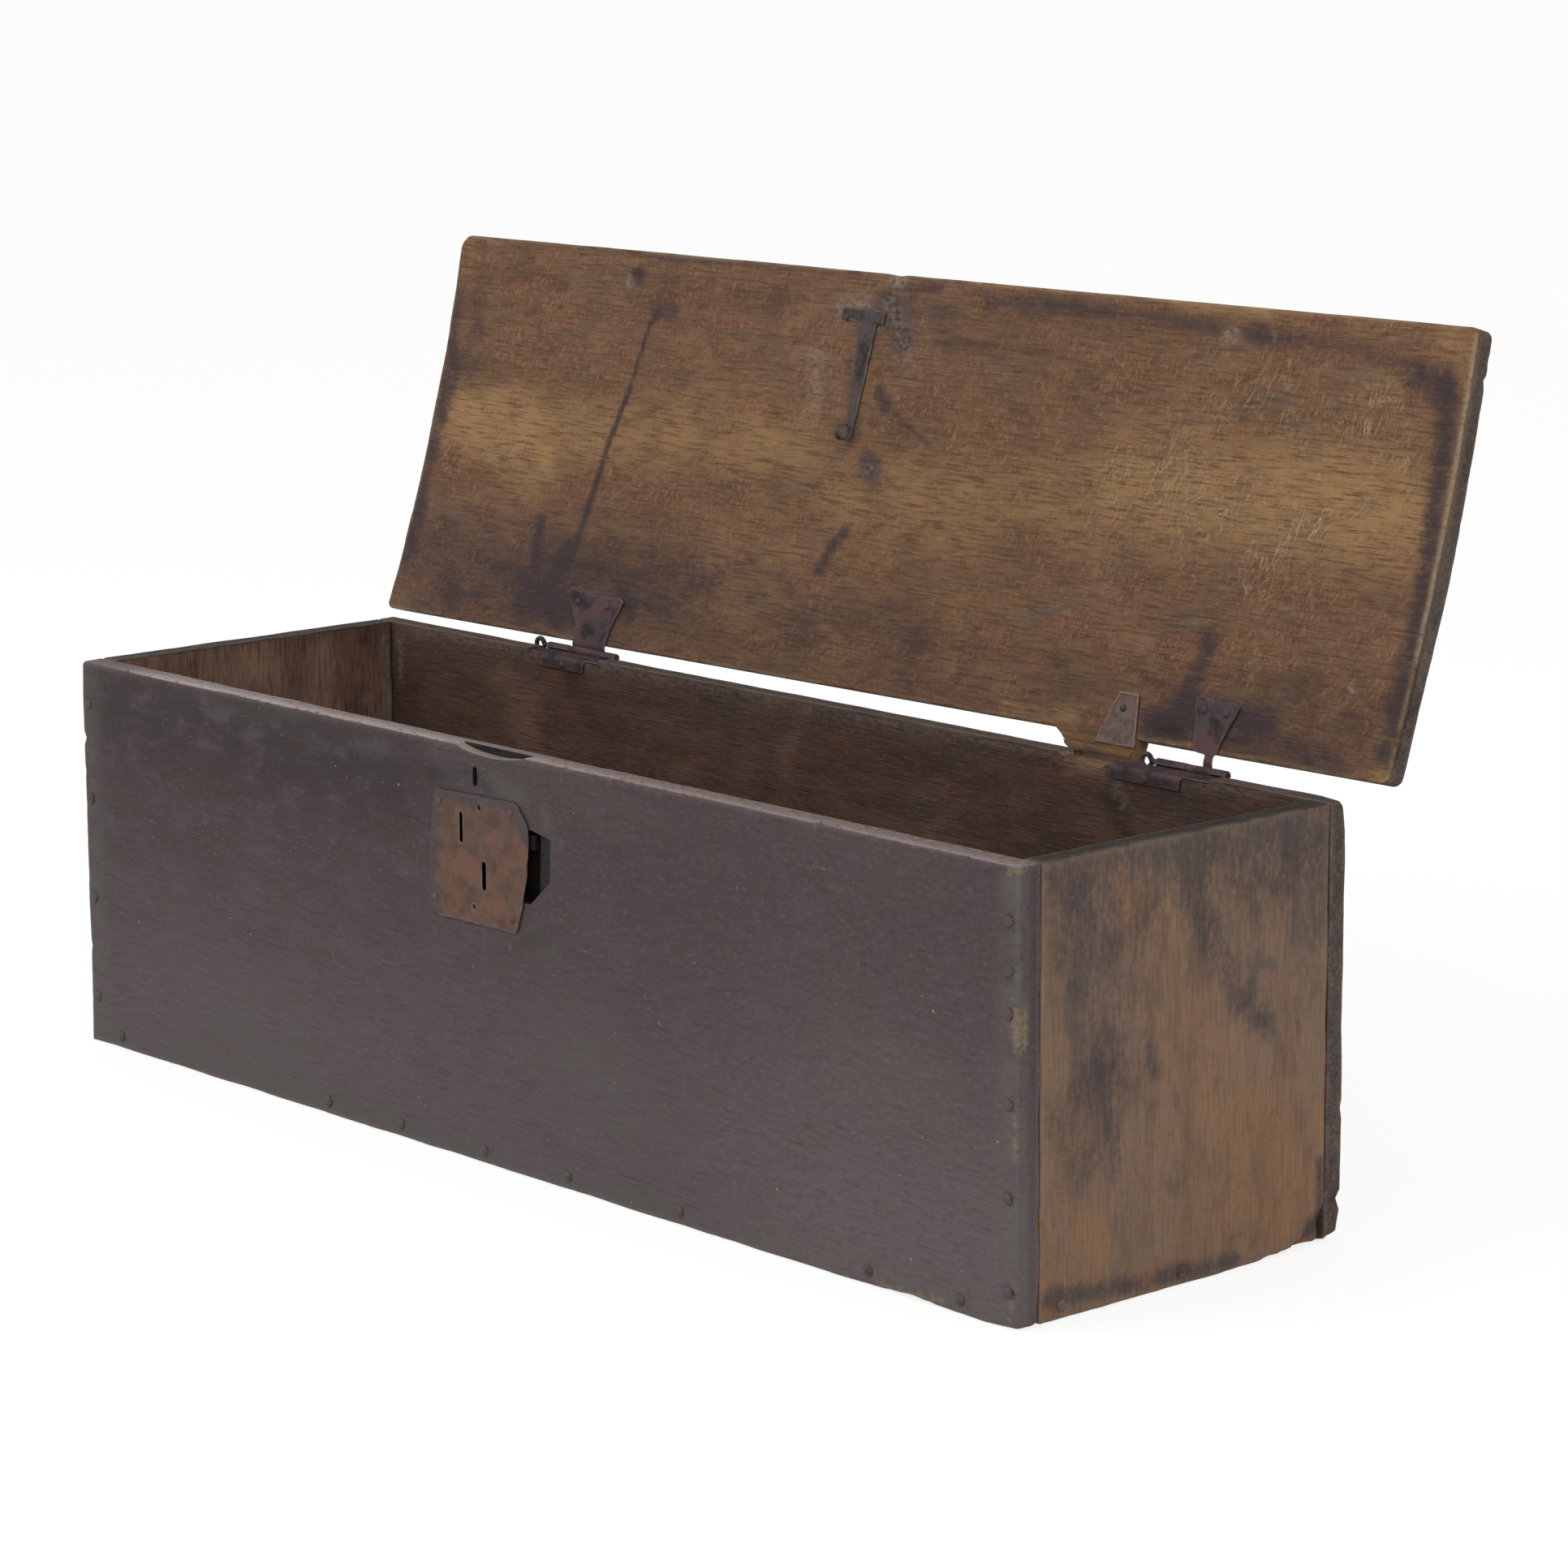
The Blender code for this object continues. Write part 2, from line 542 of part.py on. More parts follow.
def add_hinge(side, hinge):
    """One hinge: chest leaf, lid leaf and pin. Returns the nails that hold the leaves."""
    start = hinge.start * END_FACE
    lid_start = start + hinge.first_knuckle + CLEARANCE
    lid_end = lid_start + hinge.lid_knuckle
    end = lid_end + CLEARANCE + hinge.last_knuckle
    clear_reach = KNUCKLE_RADIUS + 2 * CLEARANCE

    # Lid leaf: rolled at the rear, following the lid's hollow, and flared towards its end.
    leaf_bottom = LID_LEAF_TOP - LID_LEAF_THICKNESS
    sheet = lid_sheet(KNUCKLE_RADIUS + CLEARANCE, hinge.leaf_length, LID_LEAF_TOP, LID_LEAF_THICKNESS, 6)
    section = knuckle_section(leaf_bottom, LID_LEAF_TOP, sheet[:7], sheet[7:])
    flared_left = lid_start - hinge.flare_left
    flared_right = lid_end + hinge.flare_right
    name = f"{side}_hinge_lid_leaf"
    mesh = outline_mesh(name, section, 2 * (flared_right - flared_left), [circle(KNUCKLE_BORE)])
    lid_leaf = add_part(name, mesh, DARK_IRON, place_across((lid_start + lid_end) / 2), lid_axis)
    straight = AXIS_Y - BACK_INSIDE + CLEARANCE
    flared = -hinge.leaf_length - SPARE
    plan = [(lid_start, 2 * KNUCKLE_RADIUS), (lid_start, -straight), (flared_left, flared),
            (flared_right, flared), (lid_end, -straight), (lid_end, 2 * KNUCKLE_RADIUS)]
    trim = add_cutter(name + "_plan", outline_mesh(name + "_plan", plan, CUT_HEIGHT), IN_PLAN, lid_axis)
    combine(lid_leaf, trim, "INTERSECT")

    # Chest leaf: rolled behind the back board, let into its top and bent down its inner face.
    inner = AXIS_Y - BACK_INSIDE + CLEARANCE
    foot = CHEST_LEAF_TOP - LEAF_DROP
    lower = [(inner, CHEST_LEAF_BOTTOM), (inner, foot)]
    upper = [(inner + CHEST_LEAF_THICKNESS, foot), (inner + CHEST_LEAF_THICKNESS, CHEST_LEAF_TOP)]
    section = knuckle_section(CHEST_LEAF_BOTTOM, CHEST_LEAF_TOP, lower, upper)
    name = f"{side}_hinge_chest_leaf"
    plate_left = start - hinge.plate_left
    mesh = outline_mesh(name, section, end - plate_left, [circle(KNUCKLE_BORE)])
    chest_leaf = add_part(name, mesh, DARK_IRON, place_across((plate_left + end) / 2, AXIS_Y, AXIS_Z))
    knuckle_zone = (-2 * KNUCKLE_RADIUS, clear_reach)
    whole_height = (-CUT_HEIGHT / 2, CUT_HEIGHT / 2)
    gap = (lid_start - CLEARANCE, lid_end + CLEARANCE)
    combine(chest_leaf, world_box(name + "_gap", gap, knuckle_zone, whole_height))
    if hinge.plate_left > 0:
        bare_end = (plate_left - CUT_SPARE, start)
        combine(chest_leaf, world_box(name + "_end", bare_end, knuckle_zone, whole_height))
    drop_zone = (inner - 2 * CLEARANCE, inner + CUT_SPARE)
    if hinge.drop_left > 0:
        left_cut = (plate_left - CUT_SPARE, plate_left + hinge.drop_left)
        combine(chest_leaf, world_box(name + "_left", left_cut, drop_zone, whole_height))
    right_cut = (end - hinge.drop_right, end + CUT_SPARE)
    combine(chest_leaf, world_box(name + "_right", right_cut, drop_zone, whole_height))

    # Pin: a plain shaft with a ring at its left end.
    name = f"{side}_hinge_pin"
    ring_x = start - hinge.ring_offset
    shaft_start = ring_x + RING_RADIUS
    shaft_length = end + PIN_TAIL - shaft_start
    shape = bmesh.new()
    bmesh.ops.create_cone(shape, cap_ends=True, segments=16, radius1=PIN_RADIUS, radius2=PIN_RADIUS,
                          depth=shaft_length, matrix=Matrix.Rotation(pi / 2, 4, "Y"))
    mesh = bpy.data.meshes.new(name)
    shape.to_mesh(mesh)
    shape.free()
    shaft_middle = Matrix.Translation((shaft_start + shaft_length / 2, AXIS_Y, AXIS_Z))
    pin = add_part(name, mesh, DARK_IRON, shaft_middle)
    bpy.ops.mesh.primitive_torus_add(major_radius=RING_RADIUS, minor_radius=RING_WIRE, major_segments=20,
                                     minor_segments=8, location=(0.0, 0.0, 0.0))
    drawn = bpy.context.object
    ring_mesh = drawn.data
    bpy.data.objects.remove(drawn, do_unlink=True)
    ring_place = Matrix.Translation((ring_x, AXIS_Y, AXIS_Z)) @ Matrix.Rotation(pi / 2, 4, "X")
    combine(pin, add_cutter(name + "_ring", ring_mesh, ring_place), "UNION")

    # Nails: one through the chest leaf's drop, two through the lid leaf.
    drop_middle = (plate_left + hinge.drop_left + end - hinge.drop_right) / 2
    drop_face = BACK_INSIDE - CLEARANCE - CHEST_LEAF_THICKNESS
    drop_height = AXIS_Z + foot + LEAF_DROP * DROP_TACK_SHARE
    chest_tack = add_tack(f"{side}_chest_leaf_nail", (drop_middle, drop_face, drop_height), FORWARD)
    tack_reach = hinge.leaf_length - LEAF_TACK_INSET
    tack_height = leaf_bottom + cup(tack_reach)
    quarter = (flared_right - flared_left) / 4
    middle = (flared_left + flared_right) / 2
    lid_tacks = [add_tack(f"{side}_lid_leaf_nail_{count}", (middle + offset, -tack_reach, tack_height),
                          DOWNWARD, lid_axis)
                 for count, offset in enumerate((-quarter, quarter), 1)]
    drill(lid_leaf, lid_tacks)
    drill(chest_leaf, [chest_tack])
    return chest_tack, lid_tacks, (plate_left, end)


left_chest_tack, left_lid_tacks, left_span = add_hinge("left", LEFT_HINGE)
right_chest_tack, right_lid_tacks, right_span = add_hinge("right", RIGHT_HINGE)


# The repair block fills the space behind the lid's rear edge. Its heel, below the axis when the lid is open,
# meets the back board's outer face and stops the lid.
block_right = BLOCK_LEFT + BLOCK_LENGTH
block_front = along_lid(BLOCK_LEFT, LID_REAR_LEFT, LID_REAR_RIGHT) - CLEARANCE
back_reach = AXIS_Y - BACK_FACE
nose_radius = back_reach - CLEARANCE


def heel_height(reach):
    """Height of the heel's stop face, which lies flat on the back board when the lid is open."""
    return (reach * cos(LID_OPEN_ANGLE) - nose_radius) / sin(LID_OPEN_ANGLE)


nose_end = asin(LID_UNDERSIDE / nose_radius)
block_top = LID_UNDERSIDE + BLOCK_HEIGHT
block_section = [(block_front, LID_UNDERSIDE + cup(block_front)), (block_front, block_top),
                 (-BLOCK_HEEL * BLOCK_CHAMFER, block_top), (-BLOCK_HEEL, block_top * BLOCK_CHAMFER),
                 (-BLOCK_HEEL, heel_height(-BLOCK_HEEL))]
block_section += arc((0.0, 0.0), nose_radius, -LID_OPEN_ANGLE, nose_end, 10)
hinge_repair_block = add_part("hinge_repair_block",
                              outline_mesh("hinge_repair_block", block_section, BLOCK_LENGTH), RAW_WOOD,
                              place_across(BLOCK_LEFT + BLOCK_LENGTH / 2), lid_axis)

# The repair strap laps from the lid over the block.
strap_near = block_front - REPAIR_STRAP_LAP
strap_far = strap_near + REPAIR_STRAP_LENGTH
strap_section = lid_sheet(strap_near, strap_far, LID_LEAF_TOP, REPAIR_STRAP_THICKNESS, 6)
strap_middle = REPAIR_STRAP_LEFT + REPAIR_STRAP_WIDTH / 2
strap_mesh = outline_mesh("hinge_repair_strap", strap_section, 2 * REPAIR_STRAP_WIDTH)
hinge_repair_strap = add_part("hinge_repair_strap", strap_mesh, RUSTY_IRON, place_across(strap_middle),
                              lid_axis)
strap_plan = [(strap_middle - REPAIR_STRAP_WIDTH / 2, -strap_near + SPARE),
              (strap_middle - REPAIR_STRAP_END_WIDTH / 2, -strap_far - SPARE),
              (strap_middle + REPAIR_STRAP_END_WIDTH / 2, -strap_far - SPARE),
              (strap_middle + REPAIR_STRAP_WIDTH / 2, -strap_near + SPARE)]
strap_plan_mesh = outline_mesh("repair_strap_plan", strap_plan, CUT_HEIGHT)
strap_trim = add_cutter("repair_strap_plan", strap_plan_mesh, IN_PLAN, lid_axis)
combine(hinge_repair_strap, strap_trim, "INTERSECT")
strap_tack_reach = strap_near + REPAIR_STRAP_LENGTH * REPAIR_TACK_SHARE
strap_tack_height = LID_LEAF_TOP - REPAIR_STRAP_THICKNESS + cup(strap_tack_reach)
strap_tack = add_tack("repair_strap_nail", (strap_middle, -strap_tack_reach, strap_tack_height), DOWNWARD,
                      lid_axis)
drill(hinge_repair_strap, [strap_tack])


# The hasp strap: one strip, bent to the lid's hollow and curled at its end, trimmed to plate and tail.
hasp_front = along_lid(HASP_X, LID_FRONT_LEFT, LID_FRONT_RIGHT) - HASP_SETBACK
hasp_plate_rear = hasp_front - HASP_PLATE_DEPTH
hasp_tip = hasp_plate_rear - HASP_TAIL_LENGTH
hasp_top = LID_UNDERSIDE - CLEARANCE
curl_centre = (hasp_tip, hasp_top - HASP_THICKNESS / 2 + cup(hasp_tip) - HASP_CURL_RADIUS)
curl_end = pi / 2 + HASP_CURL_TURN
hasp_steps = 10
hasp_line = lid_sheet(hasp_tip, hasp_front, hasp_top, HASP_THICKNESS, hasp_steps)
hasp_lower = hasp_line[1:hasp_steps + 1]
hasp_upper = hasp_line[hasp_steps + 1:-1]
curl_outer = arc(curl_centre, HASP_CURL_RADIUS + HASP_THICKNESS / 2, pi / 2, curl_end, 14)
curl_inner = arc(curl_centre, HASP_CURL_RADIUS - HASP_THICKNESS / 2, curl_end, pi / 2, 14)
hasp_section = hasp_lower + hasp_upper + curl_outer + curl_inner
hasp_width = HASP_PLATE_LEFT + HASP_PLATE_RIGHT
hasp_strap = add_part("hasp_strap", outline_mesh("hasp_strap", hasp_section, 2 * hasp_width), DARK_IRON,
                      place_across(HASP_X), lid_axis)
curl_reach = hasp_tip - HASP_CURL_RADIUS - HASP_THICKNESS
hasp_plan = [(HASP_X - HASP_PLATE_LEFT, -hasp_front - SPARE), (HASP_X + HASP_PLATE_RIGHT, -hasp_front - SPARE),
             (HASP_X + HASP_PLATE_RIGHT, -hasp_plate_rear), (HASP_X + HASP_TAIL_WIDTH / 2, -hasp_plate_rear),
             (HASP_X + HASP_TIP_WIDTH / 2, -hasp_tip), (HASP_X + HASP_TIP_WIDTH / 2, -curl_reach),
             (HASP_X - HASP_TIP_WIDTH / 2, -curl_reach), (HASP_X - HASP_TIP_WIDTH / 2, -hasp_tip),
             (HASP_X - HASP_TAIL_WIDTH / 2, -hasp_plate_rear), (HASP_X - HASP_PLATE_LEFT, -hasp_plate_rear)]
hasp_plan_mesh = outline_mesh("hasp_strap_plan", hasp_plan, CUT_HEIGHT)
hasp_trim = add_cutter("hasp_strap_plan", hasp_plan_mesh, IN_PLAN, lid_axis)
combine(hasp_strap, hasp_trim, "INTERSECT")
hasp_tack_reach = hasp_plate_rear + TACK_HEAD
hasp_tack_height = hasp_top - HASP_THICKNESS + cup(hasp_tack_reach)
hasp_tack_offsets = (-HASP_PLATE_LEFT + 2 * TACK_HEAD, HASP_PLATE_RIGHT - 2 * TACK_HEAD)
hasp_tacks = [add_tack(f"hasp_strap_nail_{count}", (HASP_X + offset, -hasp_tack_reach, hasp_tack_height),
                       DOWNWARD, lid_axis)
              for count, offset in enumerate(hasp_tack_offsets, 1)]
drill(hasp_strap, hasp_tacks)
drill(lid_board, left_lid_tacks + right_lid_tacks + hasp_tacks + [strap_tack])


# The lock plate: wider at its bulging right side, with a staple slot and a keyhole.
plate_right = LOCK_PLATE_LEFT + LOCK_PLATE_WIDTH
plate_top = LOCK_PLATE_BOTTOM + LOCK_PLATE_HEIGHT
plate_top_left = LOCK_PLATE_LEFT + LOCK_PLATE_SHOULDER
plate_top_right = plate_top_left + LOCK_PLATE_TOP_WIDTH
bulge_height = LOCK_PLATE_BOTTOM + LOCK_PLATE_BULGE_HEIGHT
plate_outline = [(LOCK_PLATE_LEFT, LOCK_PLATE_BOTTOM), (plate_right, LOCK_PLATE_BOTTOM),
                 (plate_right + LOCK_PLATE_BULGE * LOCK_PLATE_BULGE_SHARE,
                  (LOCK_PLATE_BOTTOM + bulge_height) / 2),
                 (plate_right + LOCK_PLATE_BULGE, bulge_height), (plate_top_right, plate_top + LOCK_PLATE_SKEW),
                 (plate_top_left, plate_top - LOCK_PLATE_SKEW)]
plate_face = FRONT_FACE - CLEARANCE - LOCK_PLATE_THICKNESS
plate_middle = FRONT_FACE - CLEARANCE - LOCK_PLATE_THICKNESS / 2
plate_rounded = rounded_outline(plate_outline, LOCK_PLATE_ROUNDING, 3)
plate_mesh = outline_mesh("lock_plate", plate_rounded, LOCK_PLATE_THICKNESS)
lock_plate = add_part("lock_plate", plate_mesh, RUSTY_IRON, place_on_front(plate_middle))
staple_slot = slot_outline((STAPLE_SLOT_X, BOLT_Z), STAPLE_SLOT_WIDTH, STAPLE_SLOT_HEIGHT)
keyhole = slot_outline((KEYHOLE_X, KEYHOLE_Z), KEYHOLE_WIDTH, KEYHOLE_HEIGHT)
for slot_name, slot in (("staple_slot", staple_slot), ("keyhole", keyhole)):
    slot_cutter = add_cutter(slot_name, outline_mesh(slot_name, slot, 3 * LOCK_PLATE_THICKNESS),
                             place_on_front(plate_middle))
    combine(lock_plate, slot_cutter)
plate_corners = [(LOCK_PLATE_LEFT, LOCK_PLATE_BOTTOM), (plate_right, LOCK_PLATE_BOTTOM),
                 (plate_top_left, plate_top), (plate_top_right, plate_top)]
lock_tacks = [add_tack(f"lock_plate_nail_{count}", (corner[0] + inset[0], plate_face, corner[1] + inset[1]),
                       FORWARD)
              for count, (corner, inset) in enumerate(zip(plate_corners, LOCK_TACK_INSETS), 1)]
drill(lock_plate, lock_tacks)


# The bolt slides along X behind the plate. Its talon is the notch that the key's bit turns in.
bolt_tip = STAPLE_SLOT_X + STAPLE_SLOT_WIDTH / 2 + BOLT_WITHDRAWN
bolt_end = bolt_tip + BOLT_LENGTH
bolt_bottom = BOLT_Z - BOLT_HEIGHT / 2
bolt_top = BOLT_Z + BOLT_HEIGHT / 2
talon_left = KEYHOLE_X - BOLT_TALON_WIDTH / 2
talon_right = KEYHOLE_X + BOLT_TALON_WIDTH / 2
talon_top = bolt_bottom + BOLT_TALON_DEPTH
bolt_outline = [(bolt_tip, bolt_bottom), (talon_left, bolt_bottom), (talon_left, talon_top),
                (talon_right, talon_top), (talon_right, bolt_bottom), (bolt_end, bolt_bottom),
                (bolt_end, bolt_top), (bolt_tip, bolt_top)]
bolt_front = FRONT_FACE + BOLT_SETBACK
bolt_back = bolt_front + BOLT_THICKNESS
bolt_axis = add_axis("bolt_axis", (bolt_tip, (bolt_front + bolt_back) / 2, BOLT_Z))
bolt_place = Matrix.Translation((-bolt_tip, 0.0, -BOLT_Z)) @ ON_FRONT
lock_bolt = add_part("lock_bolt", outline_mesh("lock_bolt", bolt_outline, BOLT_THICKNESS), RUSTY_IRON,
                     bolt_place, bolt_axis)

# Two guides hold the bolt to the plate.
guide_half = BOLT_HEIGHT / 2 + CLEARANCE + GUIDE_WALL
channel_half = BOLT_HEIGHT / 2 + CLEARANCE
channel_back = bolt_back + CLEARANCE
guide_left = bolt_tip + GUIDE_INSET
for guide_name, guide_x in (("bolt_guide_left", guide_left), ("bolt_guide_right", guide_left + GUIDE_SPACING)):
    guide_mesh, guide_place = box_mesh(guide_name, (guide_x, FRONT_FACE, BOLT_Z - guide_half),
                                       (guide_x + GUIDE_WIDTH, channel_back + GUIDE_WALL, BOLT_Z + guide_half))
    guide = add_part(guide_name, guide_mesh, DARK_IRON, guide_place)
    round_edges(guide, IRON_ROUNDING, 1)
    channel = box_mesh(guide_name + "_channel", (guide_x - SPARE, FRONT_FACE - SPARE, BOLT_Z - channel_half),
                       (guide_x + GUIDE_WIDTH + SPARE, channel_back, BOLT_Z + channel_half))
    combine(guide, add_cutter(guide_name + "_channel", *channel))

# The spring: a foot on the plate and a blade that presses on the bolt's upper edge.
foot_right = guide_left + GUIDE_SPACING - SPRING_FOOT_GAP
foot_left = foot_right - SPRING_FOOT
blade_tip = foot_left - SPRING_LENGTH
spring_tip_z = bolt_top + CLEARANCE
spring_root_z = spring_tip_z + SPRING_RISE
foot_top = spring_root_z + 3 * SPRING_THICKNESS
spring_outline = [(blade_tip, spring_tip_z), (foot_left, spring_root_z), (foot_right, spring_root_z),
                  (foot_right, foot_top), (foot_left, foot_top), (foot_left, spring_root_z + SPRING_THICKNESS),
                  (blade_tip, spring_tip_z + SPRING_THICKNESS)]
lock_spring = add_part("lock_spring", outline_mesh("lock_spring", spring_outline, SPRING_WIDTH), DARK_IRON,
                       place_on_front(FRONT_FACE + SPRING_WIDTH / 2))


# Cuts in the front board: the lock's pocket, the scoop in the top edge, and the old slot.
pocket_top = max(foot_top, BOLT_Z + guide_half) + POCKET_HEADROOM
pocket_bottom = pocket_top - POCKET_HEIGHT
pocket_outline = [(-POCKET_LEFT, pocket_bottom), (POCKET_RIGHT - POCKET_SILL_WIDTH, pocket_bottom),
                  (POCKET_RIGHT - POCKET_SLOPE / 2, pocket_bottom + POCKET_SILL),
                  (POCKET_RIGHT, pocket_top - POCKET_SLOPE),
                  (POCKET_RIGHT - POCKET_BREAK, pocket_top - POCKET_SLOPE / 3), (-POCKET_LEFT, pocket_top)]
pocket = outline_mesh("lock_pocket", pocket_outline, 2 * POCKET_DEPTH)
combine(front_board, add_cutter("lock_pocket", pocket, place_on_front(FRONT_FACE)))

scoop_half = SCOOP_LENGTH / 2
scoop_radius = (scoop_half ** 2 + SCOOP_DEPTH ** 2) / (2 * SCOOP_DEPTH)
scoop_turn = asin(scoop_half / scoop_radius)
scoop_centre = (SCOOP_LEFT + scoop_half, CHEST_HEIGHT - SCOOP_DEPTH + scoop_radius)
scoop_outline = arc(scoop_centre, scoop_radius, -pi / 2 - scoop_turn, -pi / 2 + scoop_turn, 12)
scoop_outline += [(SCOOP_LEFT + SCOOP_LENGTH, CHEST_HEIGHT + CUT_SPARE), (SCOOP_LEFT, CHEST_HEIGHT + CUT_SPARE)]
scoop = outline_mesh("top_scoop", scoop_outline, 2 * SCOOP_WIDTH)
combine(front_board, add_cutter("top_scoop", scoop, place_on_front(FRONT_FACE)))

old_slot_middle = CHEST_HEIGHT - OLD_SLOT_TOP - OLD_SLOT_HEIGHT / 2
old_slot_outline = slot_outline((OLD_SLOT_X, old_slot_middle), OLD_SLOT_WIDTH, OLD_SLOT_HEIGHT)
old_slot = outline_mesh("old_slot", old_slot_outline, 2 * OLD_SLOT_DEPTH)
combine(front_board, add_cutter("old_slot", old_slot, place_on_front(FRONT_FACE)))
drill(front_board, front_nails + front_right_nails + front_left_nails + lock_tacks)


# Recesses in the back board's top, where the leaves and the repair strap lie when the lid is closed.
recess_spans = (("left_recess", *left_span),
                ("right_recess", REPAIR_STRAP_LEFT - REPAIR_STRAP_ROOM, right_span[1]))
for recess_name, recess_left, recess_right in recess_spans:
    recess = world_box(recess_name, (recess_left - 3 * CLEARANCE, recess_right + 3 * CLEARANCE),
                       (-CUT_SPARE, AXIS_Y - BACK_INSIDE + CUT_SPARE), (HINGE_RECESS, CUT_SPARE))
    combine(back_board, recess)
drill(back_board, back_left_nails + back_right_nails + [left_chest_tack, right_chest_tack])

make_nails()
lid_axis.rotation_euler = (-LID_OPEN_ANGLE, 0.0, 0.0)
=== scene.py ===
"""Looks of an old six-plank chest: worn boards, forged ironwork and nails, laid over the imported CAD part."""
import json
from collections import namedtuple
from math import cos, hypot, pi, radians, sin

import bmesh
import bpy
import numpy as np
from bpy.props import FloatProperty, FloatVectorProperty, IntProperty, PointerProperty
from mathutils import Matrix, Vector, noise
from mathutils.geometry import delaunay_2d_cdt


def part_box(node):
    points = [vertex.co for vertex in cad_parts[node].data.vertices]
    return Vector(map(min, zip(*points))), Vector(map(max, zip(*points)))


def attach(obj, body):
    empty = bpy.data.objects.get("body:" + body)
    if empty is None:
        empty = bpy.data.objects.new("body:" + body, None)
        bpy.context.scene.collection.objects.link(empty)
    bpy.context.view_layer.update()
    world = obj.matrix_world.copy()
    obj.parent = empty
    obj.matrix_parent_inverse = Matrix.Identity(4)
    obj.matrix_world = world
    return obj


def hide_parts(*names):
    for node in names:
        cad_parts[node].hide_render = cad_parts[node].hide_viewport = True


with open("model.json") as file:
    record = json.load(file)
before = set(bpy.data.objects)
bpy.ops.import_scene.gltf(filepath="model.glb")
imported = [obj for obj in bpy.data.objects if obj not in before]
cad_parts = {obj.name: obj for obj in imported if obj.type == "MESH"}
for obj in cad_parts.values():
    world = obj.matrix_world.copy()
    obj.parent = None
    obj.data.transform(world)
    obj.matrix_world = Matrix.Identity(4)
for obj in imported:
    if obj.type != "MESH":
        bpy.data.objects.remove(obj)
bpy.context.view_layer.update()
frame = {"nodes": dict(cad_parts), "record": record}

bl_info = {
    "name": "Six-plank chest",
    "version": (1, 0, 0),
    "blender": (4, 5, 0),
    "location": "3D View > Sidebar > Chest",
    "description": "Builds the worn boards, ironwork and nails of an old six-plank chest",
    "category": "Add Mesh",
}

# The hinge axis, and how far the lid stands open.
AXIS_Y = 0.1895
AXIS_Z = 0.364
OPEN = radians(106.2)
LID_OUT = Vector((0.0, -sin(OPEN), -cos(OPEN)))

# The lid in its own frame: along the chest, in front of the axis, and above it.
LID_LEFT = -0.6485
LID_RIGHT = 0.6545
LID_REAR = (0.0068, 0.0167)
LID_FRONT = (0.3830, 0.3887)
LID_UNDERSIDE = 0.0013
LID_THICKNESS = 0.020
LID_CUP = 0.008
LID_SPAN = (0.0068, 0.3735)

# Distances of the grid lines from a board's edges, close enough to carry a rounded arris.
RIM = (0.0, 0.0008, 0.0018, 0.0032, 0.0052, 0.0085)
# Millimetres in a metre.
MILLIMETRES = 1000


def linear(code):
    """An sRGB hex colour as linear red, green and blue."""
    channels = [int(code[start:start + 2], 16) / 255 for start in (1, 3, 5)]
    return tuple(value / 12.92 if value <= 0.04045 else ((value + 0.055) / 1.055) ** 2.4
                 for value in channels)


def shade(code):
    """An sRGB hex colour as a linear colour with full alpha."""
    return (*linear(code), 1.0)


# Materials.


def add(tree, kind, inputs=None, out=0, **settings):
    """Add a node with its settings, set or link its inputs, and hand back one of its outputs."""
    made = tree.nodes.new(kind)
    for name, value in settings.items():
        setattr(made, name, value)
    for name, value in (inputs or {}).items():
        if isinstance(value, bpy.types.NodeSocket):
            tree.links.new(value, made.inputs[name])
        else:
            made.inputs[name].default_value = value
    return made.outputs[out] if made.outputs else None


def new_material(name):
    """An empty node material and its tree."""
    material = bpy.data.materials.new(name)
    material.use_nodes = True
    material.node_tree.nodes.clear()
    return material, material.node_tree


# A pattern's size along and across the grain in millimetres, its detail and distortion, and where it starts.
Pattern = namedtuple("Pattern", "along across detail distortion offset")


def spread(tree, place, patterns):
    """Lay out the uneven patterns of a surface."""
    laid = {}
    for name, pattern in patterns.items():
        across = MILLIMETRES / pattern.across
        size = (MILLIMETRES / pattern.along, across, across)
        scaled = add(tree, "ShaderNodeVectorMath", {0: place, 1: size, 2: (pattern.offset,) * 3},
                     operation="MULTIPLY_ADD")
        laid[name] = add(tree, "ShaderNodeTexNoise",
                         {"Vector": scaled, "Scale": 1.0, "Detail": pattern.detail, "Roughness": 0.6,
                          "Distortion": pattern.distortion})
    return laid


def lay(tree, under, colour, pattern, start, end, most=1.0, least=0.0, where=None):
    """Lay a colour over another where a pattern passes from start to end, and only as much as where says."""
    amount = add(tree, "ShaderNodeMapRange", {"Value": pattern, 1: start, 2: end, 3: least, 4: most},
                 interpolation_type="SMOOTHSTEP")
    if where is not None:
        amount = add(tree, "ShaderNodeMath", {0: amount, 1: where}, operation="MULTIPLY")
    return add(tree, "ShaderNodeMix", {0: amount, 6: under, 7: colour}, 2, data_type="RGBA")


def pile(tree, weighted):
    """Add up patterns by their weights into one height."""
    height = 0.0
    for pattern, weight in weighted:
        height = add(tree, "ShaderNodeMath", {0: pattern, 1: weight, 2: height}, operation="MULTIPLY_ADD")
    return height


def finish(tree, colour, rough_by, roughness, height, depth, strength, metallic=0.0):
    """The surface itself: its roughness wanders with a pattern, and its bump is a real depth."""
    least, most = roughness
    rough = add(tree, "ShaderNodeMapRange", {"Value": rough_by, 1: 0.3, 2: 0.7, 3: least, 4: most})
    bump = add(tree, "ShaderNodeBump", {"Strength": strength, "Distance": depth, "Height": height})
    shader = add(tree, "ShaderNodeBsdfPrincipled",
                 {"Base Color": colour, "Roughness": rough, "Metallic": metallic, "Normal": bump,
                  "Specular IOR Level": 0.14})
    add(tree, "ShaderNodeOutputMaterial", {"Surface": shader})


